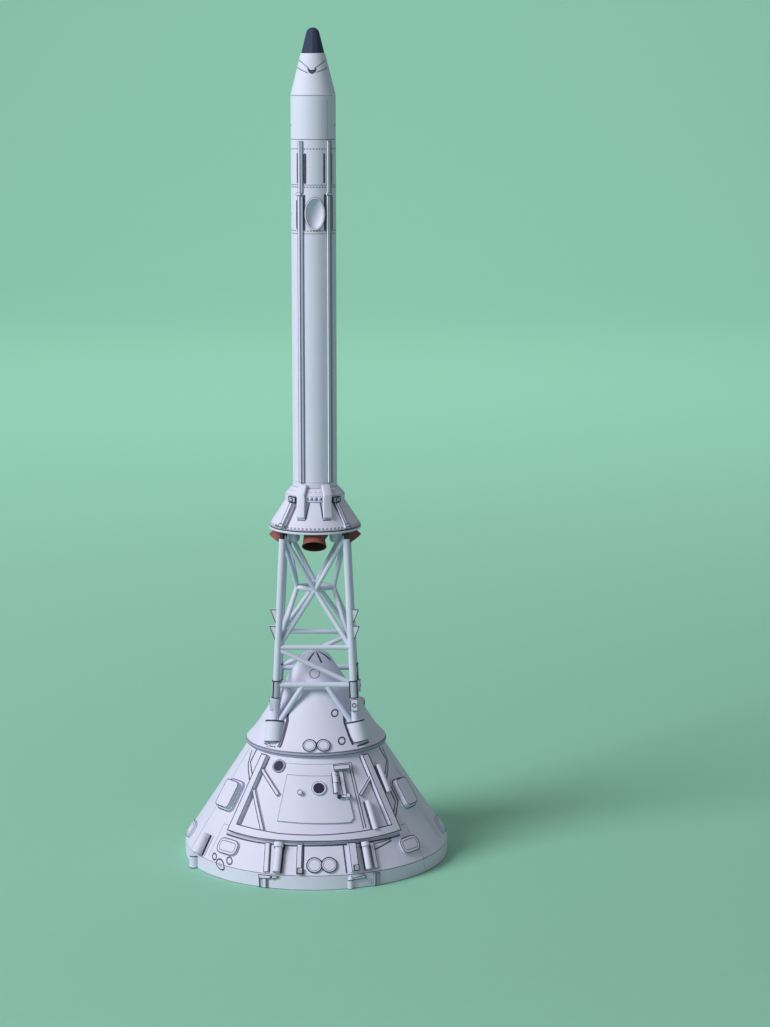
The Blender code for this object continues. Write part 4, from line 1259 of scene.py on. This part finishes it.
def make_boxes():
    """Side boxes on their base plates, and the covers near the rim."""
    # azimuth, height, shift, width, length, corner, thickness, lift
    boxes = {
        "side_box_left": (
            (-51.0, 10.9, -2.15, 4.3, 5.1, 0.9, 0.3, GAP),
            (-52.1, 10.85, -1.8, 3.6, 4.4, 0.7, 0.75, 0.35),
        ),
        "side_box_right": (
            (56.9, 10.85, 1.95, 3.9, 4.95, 0.9, 0.3, GAP),
            (57.6, 10.9, 1.6, 3.2, 4.4, 0.7, 0.75, 0.35),
        ),
    }
    for node, cards in boxes.items():
        pieces = []
        for azimuth, height, shift, width, length, corner, thickness, lift in cards:
            corners = rounded_box(width, length, corner, shift)
            pieces.append(pasted(corners, thickness, COVER, azimuth, height, lift, (0.14,)))
        assembled(node, pieces)
    # node, azimuth, height, width, length
    covers = (
        ("rim_cover_left", -43.0, 4.59, 4.1, 2.45),
        ("rim_cover_right", 49.1, 4.53, 3.95, 2.5),
        ("flank_cover_left", -83.0, 3.9, 3.6, 2.6),
        ("flank_cover_right", 88.0, 4.15, 3.6, 2.6),
    )
    for node, azimuth, height, width, length in covers:
        corners = rounded_box(width, length, 1.0)
        cover = pasted(corners, 0.35, COVER, azimuth, height, lines=(0.14, 0.3, 0.09))
        placed(cover, node)


def make_fittings():
    """The straps, canisters and ports along the capsule's foot, and the ports on its lip."""
    # node, top and foot, width, thickness
    straps = (
        ("left_strap", (-22.25, 6.1), (-20.05, 2.35), 0.8, 0.25),
        ("centre_strip", (-6.45, 6.2), (-5.9, 2.4), 0.8, 0.3),
        ("right_rod", (18.2, 6.1), (17.7, 2.45), 1.15, 0.7),
        ("right_strap", (28.3, 5.9), (27.3, 2.5), 0.72, 0.3),
    )
    for node, start, end, width, thickness in straps:
        pieces = [strip(COVER, start, end, width, thickness, (0.1,))]
        if node in ("centre_strip", "right_rod"):
            turn, height = end
            place = (COVER, turn + 0.5, height + 0.35, thickness + 0.08)
            corners = rounded_box(0.85, 0.95, 0.08)
            pieces.append(pasted(corners, 0.18, *place, (0.14,), GREY_FACED))
        assembled(node, pieces)
    # node, then places of top and foot and radius of each part
    canisters = (
        ("left_canister", ((-15.7, 5.7), (-15.0, 2.4), 0.6), ((-15.85, 6.1), (-15.8, 5.5), 0.75)),
        ("right_canister", ((24.2, 5.5), (23.65, 2.5), 0.5), ((24.3, 5.95), (24.25, 5.4), 0.62)),
        ("corner_canister", ((-59.75, 5.1), (-58.5, 2.3), 0.75)),
    )
    for node, *parts in canisters:
        dark = node != "corner_canister"
        assembled(node, [
            lined_rod(COVER, *part, dark_flanks=dark) for part in parts])
    # node, skin, azimuths, height, radius
    pairs = (
        ("rim_port_pair", COVER, (0.6, 7.0), 3.55, 1.22),
        ("lip_port_pair", FLARE, (-4.1, 7.8), 19.28, 1.07),
    )
    for node, skin, azimuths, height, radius in pairs:
        corners = disc(radius)
        assembled(node, [
            pasted(corners, 0.2, skin, azimuth, height, lift, (0.18, 0.14, 0.07))
            for azimuth, lift in zip(azimuths, (GAP, 1.4 * GAP))])


def main():
    set_camera()
    set_lights()
    make_floor()
    make_rim()
    make_shells()
    make_frame_card()
    make_hatch()
    make_boxes()
    make_fittings()
    make_legs()
    make_tower_faces()
    make_leg_covers()
    make_skirt()
    make_pads()
    make_motor()
    make_dishes()


main()
